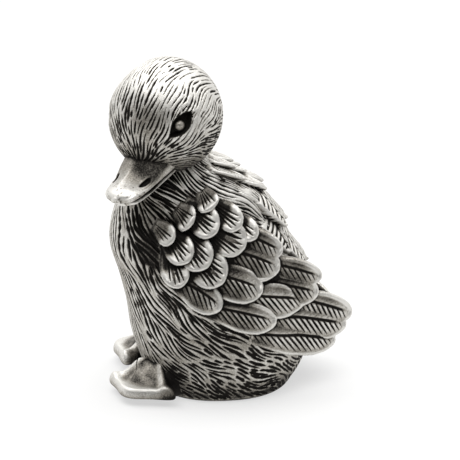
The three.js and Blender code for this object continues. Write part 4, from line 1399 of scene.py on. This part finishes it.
def jaw(name, width, length, under, over):
    """A closed jaw. under and over are heights from the mouth line, over one for each station."""
    s = np.linspace(0, 1, BILL_ALONG)
    angles = np.linspace(0, 2 * math.pi, BILL_AROUND, endpoint=False)
    half = width / 2 * line_through(BILL_STATIONS, BILL_SPREAD, s)
    mouth = FACE[2] - MOUTH_DROP - MOUTH_DIP * s + MOUTH_TURN_UP * s * s
    height = line_through(BILL_STATIONS, over, s) - under
    arch = np.maximum(np.sin(angles), 0) ** ARCH_ROUND
    across = np.cos(angles)
    left = ((1 - across) / (1 - CULMEN_ASIDE)) ** CULMEN_LEFT
    right = ((1 + across) / (1 + CULMEN_ASIDE)) ** CULMEN_RIGHT
    roof = np.where(np.sin(angles) > 0, np.where(across > CULMEN_ASIDE, left, right), 0)
    lift = arch + bill_ridge(s)[:, None] * (roof - arch)
    x = FACE[0] + half[:, None] * np.cos(angles)
    y = FACE[1] + BILL_BEHIND - s * (length + BILL_BEHIND)
    z = (mouth + under)[:, None] + height[:, None] * lift + JAW_ROUND * np.minimum(np.sin(angles), 0)
    rings = list(np.stack(np.broadcast_arrays(x, y[:, None], z), axis=-1))
    middle, end = rings[-1].mean(axis=0), rings[-1]
    for turn in np.linspace(0, math.pi / 2, BILL_END_RINGS)[1:-1]:
        rings.append(middle + (end - middle) * math.cos(turn) - np.array([0, BILL_ROLL * math.sin(turn), 0]))
    return closed_loft(name, [from_head(ring) for ring in rings])


def nostril_slots(x, y):
    """1 inside the two slots, 0 outside them."""
    u, v = np.abs(x - NOSTRIL_MIDDLE) - NOSTRIL_ASIDE, -y - NOSTRIL_REACH
    along = v * math.cos(NOSTRIL_SPLAY) - u * math.sin(NOSTRIL_SPLAY)
    across = u * math.cos(NOSTRIL_SPLAY) + v * math.sin(NOSTRIL_SPLAY)
    return smooth_step((2 * along / NOSTRIL_LENGTH) ** 2 + (2 * across / NOSTRIL_WIDTH) ** 2, 1.2, 0.5)


def shape_upper_jaw(made):
    """Rolls the edges, presses the nostrils, and darkens the root and the sides with painted shade."""
    points, normals = points_of(made.data), normals_of(made.data)
    x, y, _ = (to_head(points) - FACE).T
    s = np.clip((BILL_BEHIND - y) / (UPPER_LENGTH + BILL_BEHIND), 0, 1)
    side = np.abs(x) / (UPPER_WIDTH / 2 * line_through(BILL_STATIONS, BILL_SPREAD, s))
    top = smooth_step(normals @ HEAD_AXES[:, 2], 0.05, 0.35)
    slot = nostril_slots(x, y) * top
    rim = np.exp(-((side - BILL_RIM_AT) / BILL_RIM_WIDTH) ** 2) * smooth_step(s, 0.25, 0.4) * top
    move_points(made.data, points + normals * (BILL_RIM_HEIGHT * rim - NOSTRIL_DEPTH * slot)[:, None])
    flank = smooth_step(s, 0.9, 0.4) * smooth_step(side, 0.0, 0.5) * smooth_step(side, 1.0, 0.92)
    root = smooth_step(s, 0.86, 0.38) * smooth_step(side, 1.02, 0.94) * smooth_step(x, -3.0, 0.2)
    pits = smooth_step(drift(points, 0.7, seed=81) * drift(points, 0.5, seed=82), 0.2, 0.9)
    pits = pits * smooth_step(s, 0.6, 0.75)
    blacks = [slot, BILL_ROOT_SHADE * root, BILL_SIDE_SHADE * flank, PIT_BLACK * pits, np.full(len(s), TIP_BLACK)]
    cuts_and_shade[made.name] = np.max(blacks, axis=0)


upper_top = UPPER_EDGE + UPPER_HEIGHT * BILL_TOP + MOUTH_DROP * (1 - BILL_STATIONS)
lower_top = np.full(len(BILL_TOP), -SOLDER_GAP)
upper_bill = jaw("upper_bill_casting", UPPER_WIDTH, UPPER_LENGTH, UPPER_UNDER, upper_top)
lower_bill = jaw("lower_bill_casting", LOWER_WIDTH, LOWER_LENGTH, LOWER_UNDER, lower_top)
shape_upper_jaw(upper_bill)
cuts_and_shade[lower_bill.name] = np.zeros(len(lower_bill.data.vertices))
print("bill:", len(upper_bill.data.vertices), "and", len(lower_bill.data.vertices), "points")

# %% [markdown]
# ## Feet and eyes
# A webbed foot is a fan: its outline is drawn in plan, and rings of that outline run out over the sole,
# round the edge and back over the top, where a height says how the toes stand up round the web. An egg for
# the leg, most of it inside the body, is joined to the fan by one skin of small quads. A casting seam runs
# over the left foot.

# %% Feet
FOOT_REACH, FOOT_SPREAD = 6.7, math.radians(65)
FOOT_HEEL_WIDTH = 1.5
FOOT_WAVE = 0.07  # how far the toes reach past the web, as a share of the reach
FOOT_EDGE = 0.16  # how far the round edge bulges, as a share of the outline
FOOT_AROUND, OUTLINE_ROUNDS = 160, 24
FOOT_MIDDLE = np.array([3.2, 0.0])  # forwards from the heel
WEB_HEIGHT, TOE_HEIGHT, FRONT_RIM, LEG_RISE = 1.15, 0.9, 0.4, 3.0
TOE_AT, TOE_WIDTH = 0.8, 0.17  # shares of the spread
LEFT_HEEL, LEFT_HEADING = np.array([5.3, -7.8]), math.radians(-47)
RIGHT_HEEL, RIGHT_HEADING = np.array([-6.4, -5.8]), math.radians(-116)
LEFT_LEG, RIGHT_LEG = np.array([7.2, -5.2, 1.6]), np.array([-6.6, -5.4, 1.4])
LEG_RADII, LEG_GRID = np.array([2.3, 3.3, 2.7]), 24
FOOT_VOXEL, FOOT_ROUNDS = 0.09, 24
# darker in the dish, with painted shade beside the leg and behind the heel
DISH_BLACK, DISH_MOTTLE, LEG_SHADE, HEEL_SHADE = 0.52, 0.08, 0.6, 0.75
CRACK = np.array([[3.2, -9.8], [8.4, -12.1]])
CRACK_WIDTH, CRACK_DEPTH, CRACK_WANDER = 0.09, 0.16, 0.12
BEAD_GRID, BEAD_BLACK = 16, 0.48


def foot_outline():
    """The fan in plan, forwards and aside from the heel, with rounded corners."""
    turn = np.linspace(FOOT_SPREAD, -FOOT_SPREAD, 60)
    toes = FOOT_REACH * (1 + FOOT_WAVE * np.cos(turn / FOOT_SPREAD * 2 * math.pi))
    back = np.linspace(-math.pi / 2, -1.5 * math.pi, 12)
    loop = np.concatenate([
        np.stack([toes * np.cos(turn), toes * np.sin(turn)], axis=1),
        FOOT_HEEL_WIDTH * np.stack([np.cos(back), np.sin(back)], axis=1),
    ])
    loop = np.concatenate([loop, loop[:1]])
    far = np.concatenate([[0], np.cumsum(np.linalg.norm(np.diff(loop, axis=0), axis=1))])
    at = np.linspace(0, far[-1], FOOT_AROUND, endpoint=False)
    even = np.stack([np.interp(at, far, loop[:, k]) for k in (0, 1)], axis=1)
    for _ in range(OUTLINE_ROUNDS):
        even = (np.roll(even, 1, axis=0) + 2 * even + np.roll(even, -1, axis=0)) / 4
    return even


def foot_top(forward, aside):
    """Height of the top: toes along both edges, a rim in front, a dish between and a rise to the leg."""
    reach = np.hypot(forward, aside)
    turn = np.abs(np.arctan2(aside, forward)) / FOOT_SPREAD
    toes = TOE_HEIGHT * np.exp(-((turn - TOE_AT) / TOE_WIDTH) ** 2) * smooth_step(reach, 1.0, 3.0)
    rim = FRONT_RIM * smooth_step(reach, 3.4, 5.4)
    return WEB_HEIGHT + np.maximum(toes, rim) + LEG_RISE * smooth_step(reach, 5.4, 1.2)


def foot_axes(heading):
    """Forwards and to the left, for a foot that points along a heading."""
    ahead = np.array([math.cos(heading), math.sin(heading)])
    return ahead, np.array([-ahead[1], ahead[0]])


def fan(name, heel, heading):
    """The closed fan of a foot on the table."""
    outline = foot_outline()
    turns = np.linspace(-math.pi / 2, math.pi / 2, 20)
    bulge = np.where(turns < 0, FOOT_EDGE / 4, FOOT_EDGE) * (1 - np.cos(turns))
    edge = list(zip(1 - bulge, np.where(turns < 0, 0.25, 0.75) * np.sin(turns) + 0.25))
    levels = [(0.3, 0), (0.6, 0), *edge, *((size, 1) for size in np.linspace(0.82, 0.04, 36))]
    ahead, left = foot_axes(heading)
    rings = []
    for size, share in levels:
        place = FOOT_MIDDLE + size * (outline - FOOT_MIDDLE)
        spot = heel + place[:, :1] * ahead + place[:, 1:] * left
        rings.append(np.column_stack([spot, share * foot_top(*place.T)]))
    return closed_loft(name, rings)


def foot_skin(name, heel, heading, leg_spot):
    """The fan and the leg under one smooth skin that stands on the table."""
    parts = fan(name + "_fan", heel, heading)
    ways, quads = square_sphere(LEG_GRID)
    leg = new_piece(name + "_leg", leg_spot + ways * LEG_RADII, quads)
    size = len(parts.data.vertices)
    points = np.concatenate([points_of(parts.data), points_of(leg.data)])
    faces = [list(face.vertices) for face in parts.data.polygons] + (quads + size).tolist()
    both = new_piece(name + "_parts", points, faces)
    made = remeshed(name, both.data.copy(), FOOT_VOXEL)
    for part in (parts, leg, both):
        bpy.data.objects.remove(part)
    points = relax(points_of(made.data), edges_of(made.data), FOOT_ROUNDS)
    points[:, 2] -= points[:, 2].min()
    move_points(made.data, points)
    return made


def foot(name, heel, heading, leg_spot):
    """A foot that is darker in its dish, with painted shade beside the leg and behind the heel, under the
    body.
    """
    made = foot_skin(name, heel, heading, leg_spot)
    points = points_of(made.data)
    ahead, left = foot_axes(heading)
    offset = points[:, :2] - heel
    forward, aside = offset @ ahead, offset @ left
    turn = np.abs(np.arctan2(aside, forward)) / FOOT_SPREAD
    dish = smooth_step(turn, 0.8, 0.5) * smooth_step(np.hypot(forward, aside), 5.8, 4.4)
    dish = dish * smooth_step(points[:, 2], 0.7, 1.1)
    beside_leg = smooth_step(np.linalg.norm((points - leg_spot) / LEG_RADII, axis=1), 1.35, 0.95)
    behind = smooth_step(points[:, 1], heel[1] - 1.6, heel[1] + 2.4)
    mottled = DISH_BLACK + DISH_MOTTLE * drift(points, 2.2, seed=75)
    cuts_and_shade[name] = np.max([mottled * dish, LEG_SHADE * beside_leg, HEEL_SHADE * behind], axis=0)
    return made


def bead(name, side):
    ways, quads = square_sphere(BEAD_GRID)
    centre = head_skin(eye_way(side)[None])[0] - eye_way(side) * EYE_DEPTH
    cuts_and_shade[name] = np.full(len(ways), BEAD_BLACK)
    return new_piece(name, from_head(centre + ways * EYE_RADIUS), quads)


def crack(made, start, end):
    """A seam that runs over a foot, along a line in plan."""
    points, normals = points_of(made.data), normals_of(made.data)
    way = unit(end - start)
    offset = points[:, :2] - start
    along, across = offset @ way, offset @ np.array([-way[1], way[0]])
    wander = CRACK_WANDER * drift(points, 2, seed=77)
    inside = smooth_step(along, -0.2, 0.2) * smooth_step(along, np.linalg.norm(end - start) + 0.2, 0)
    seam = np.exp(-((across + wander) / CRACK_WIDTH) ** 2) * inside
    move_points(made.data, points - normals * (CRACK_DEPTH * seam)[:, None])
    cuts_and_shade[made.name] = np.maximum(cuts_and_shade[made.name], seam)


left_foot = foot("left_foot_casting", LEFT_HEEL, LEFT_HEADING, LEFT_LEG)
right_foot = foot("right_foot_casting", RIGHT_HEEL, RIGHT_HEADING, RIGHT_LEG)
left_eye, right_eye = bead("left_eye_bead", 1), bead("right_eye_bead", -1)
smooth_pieces = [upper_bill, lower_bill, left_foot, right_foot]
crack(left_foot, *CRACK)
print("smooth castings:", [len(made.data.vertices) for made in smooth_pieces])

# %% [markdown]
# ## Patina and painted shade
# How black a point is depends on four things. Two are patina: whether it lies in a cut, and whether the
# surface round it is hollow. Two are painted shade: whether nearby parts or the table hem it in, and whether
# it faces down, so that it is darker towards the bottom. The cut values of some pieces also carry painted
# shade and a painted highlight. Hollows are found by relaxing a copy of the surface and measuring how far
# each point sank below it. Shelter is found by casting a few rays from each point.

# %% Patina and painted shade
HOLLOW_SCALE = 0.12  # mm that a point must lie below its surroundings to stay black
UPWARD_FROM, UPWARD_TO = -0.5, 0.75  # upward part of the normal, from full painted shade to none
# painted shade on faces that turn down, so that pieces are darker towards the bottom
DOWNWARD_SHADE = 0.4
SMOOTH_DOWNWARD_SHADE = 0.6 * DOWNWARD_SHADE  # painted shade on faces that turn down, on the castings without cuts
# weights of the cut values with their painted patches, of hollow patina and of painted shade where parts and
# the table are near
CUT_AND_SHADE_WEIGHT, HOLLOW_WEIGHT, SHELTER_WEIGHT = 0.9, 0.35, 0.8
HOLLOW_LIMIT = 1.2
HOLLOW_ROUNDS, SHELTER_ROUNDS, FACING_ROUNDS = 40, 20, 60
SHELTER_REACH, SHELTER_START = 9.0, 0.6  # mm
SHELTER_RAYS, SHELTER_SPREAD = 6, 0.98
LEVEL_RAY = 0.05  # rays that fall less than this miss the table


def shelter_search():
    """One search tree round all the CAD solids."""
    corners, triangles, count = [], [], 0
    for node in frame["nodes"].values():
        node.data.calc_loop_triangles()
        corners.append(points_of(node.data))
        triangles.append(read_array(node.data.loop_triangles, "vertices", 3, np.int32) + count)
        count += len(corners[-1])
    return BVHTree.FromPolygons(np.concatenate(corners).tolist(), np.concatenate(triangles).tolist())


# Painted shade: a point is darker the more rays from it meet the figurine or the table nearby.
def sheltered(points, normals, search, seed):
    """The share of rays from each point that meet the figurine or the table nearby."""
    rng = np.random.default_rng(seed)
    found = np.zeros(len(points))
    starts = points + normals * SHELTER_START
    for _ in range(SHELTER_RAYS):
        ways = unit(normals + SHELTER_SPREAD * unit(rng.normal(size=points.shape)))
        hits = [search.ray_cast(a, b, SHELTER_REACH)[3] for a, b in zip(starts.tolist(), ways.tolist())]
        distance = np.array([SHELTER_REACH if hit is None else hit for hit in hits])
        fall = np.maximum(-ways[:, 2], LEVEL_RAY)
        table = np.where(fall > LEVEL_RAY, starts[:, 2] / fall, SHELTER_REACH)
        distance = np.minimum(distance, np.clip(table, 0, SHELTER_REACH))
        found += 1 - distance / SHELTER_REACH
    return found / SHELTER_RAYS


def blacken_and_shade(made, search, downward_shade, seed):
    """Stores how black the metal is, from cuts with their painted patches, patina in hollows, painted shade
    where parts and the table are near, and painted shade on faces that turn down.
    """
    mesh = made.data
    points, normals, edges = points_of(mesh), normals_of(mesh), edges_of(mesh)
    sunk = ((relax(points, edges, HOLLOW_ROUNDS) - points) * normals).sum(axis=1)
    hollow = np.clip(sunk / HOLLOW_SCALE, -HOLLOW_LIMIT, HOLLOW_LIMIT)
    shelter = relax(sheltered(points, normals, search, seed), edges, SHELTER_ROUNDS)
    # painted shade: darker where the smoothed normal turns down
    facing_up = smooth_step(relax(normals[:, 2], edges, FACING_ROUNDS), UPWARD_FROM, UPWARD_TO)
    black = CUT_AND_SHADE_WEIGHT * cuts_and_shade[made.name] + HOLLOW_WEIGHT * hollow + SHELTER_WEIGHT * shelter
    keep_value(mesh, "patina", black + downward_shade * (1 - facing_up))
    return shelter.mean()


search = shelter_search()
carved = [body, head, left_wing, right_wing, mantle, tail]
for seed, made in enumerate(carved):
    print(made.name, "shelter", round(blacken_and_shade(made, search, DOWNWARD_SHADE, seed), 3))
for seed, made in enumerate([*smooth_pieces, left_eye, right_eye]):
    print(made.name, "shelter", round(blacken_and_shade(made, search, SMOOTH_DOWNWARD_SHADE, 20 + seed), 3))

# %% [markdown]
# ## Bands
# The body's grid has close to half a million triangles, which is a lot for one mesh. Now that its patina and
# painted shade are stored it is cut into three bands of rings, each closed on its own. Edges marked sharp
# keep the caps, which are out of sight, from bending the shading at the cut.

# %% Body bands
BODY_BANDS = 3


def bands_of(made, around, count):
    """Closed bands of rings of a lofted piece, which goes."""
    points = points_of(made.data)[:-2].reshape(-1, around, 3)
    patina = read_array(made.data.attributes["patina"].data, "value", 1)[:-2].reshape(-1, around)
    cut_at = np.linspace(0, len(points) - 1, count + 1).astype(int)
    bands = []
    for first, last in zip(cut_at, cut_at[1:]):
        band = closed_loft(f"{made.name}_{len(bands) + 1}", list(points[first:last + 1]))
        black = patina[first:last + 1]
        keep_value(band.data, "patina", np.concatenate([black.ravel(), black[[0, -1]].mean(axis=1)]))
        ring = edges_of(band.data) // around
        sharp = band.data.attributes.new("sharp_edge", "BOOLEAN", "EDGE")
        sharp.data.foreach_set("value", (ring[:, 0] == ring[:, 1]) & np.isin(ring[:, 0], (0, last - first)))
        bands.append(band)
    bpy.data.objects.remove(made)
    return bands


body_bands = bands_of(body, BODY_AROUND, BODY_BANDS)
print("body bands:", [len(band.data.polygons) for band in body_bands], "faces")

# %% [markdown]
# ## Putting it together
# Each finished casting stands for its CAD node, rides on the one rigid body and takes the metal listed for
# it. The mantle belongs to the body's casting. The closing plate is flat sheet, so its CAD solid stays and
# only gets its metal.

# %% Assembly
CASTINGS = {
    "head": (head, "cast_pewter", cast_pewter),
    "left_wing": (left_wing, "cast_pewter", cast_pewter),
    "right_wing": (right_wing, "cast_pewter", cast_pewter),
    "tail": (tail, "cast_pewter", cast_pewter),
    "upper_bill": (upper_bill, "burnished_pewter", burnished_pewter),
    "lower_bill": (lower_bill, "burnished_pewter", burnished_pewter),
    "left_eye": (left_eye, "burnished_pewter", burnished_pewter),
    "right_eye": (right_eye, "burnished_pewter", burnished_pewter),
    "left_foot": (left_foot, "burnished_pewter", burnished_pewter),
    "right_foot": (right_foot, "burnished_pewter", burnished_pewter),
}


def fit(made, metal):
    made.data.materials.clear()
    made.data.materials.append(metal)
    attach(made, "root")


for node, (made, slot, metal) in CASTINGS.items():
    fit(made, metal)
    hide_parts(node)
for made in [*body_bands, mantle]:
    fit(made, cast_pewter)
    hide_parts("body")
plate = frame["nodes"]["base_plate"]
plate.data.materials.clear()
plate.data.materials.append(plate_pewter)
print("castings:", len(CASTINGS) + 1, "with the body, and the closing plate")
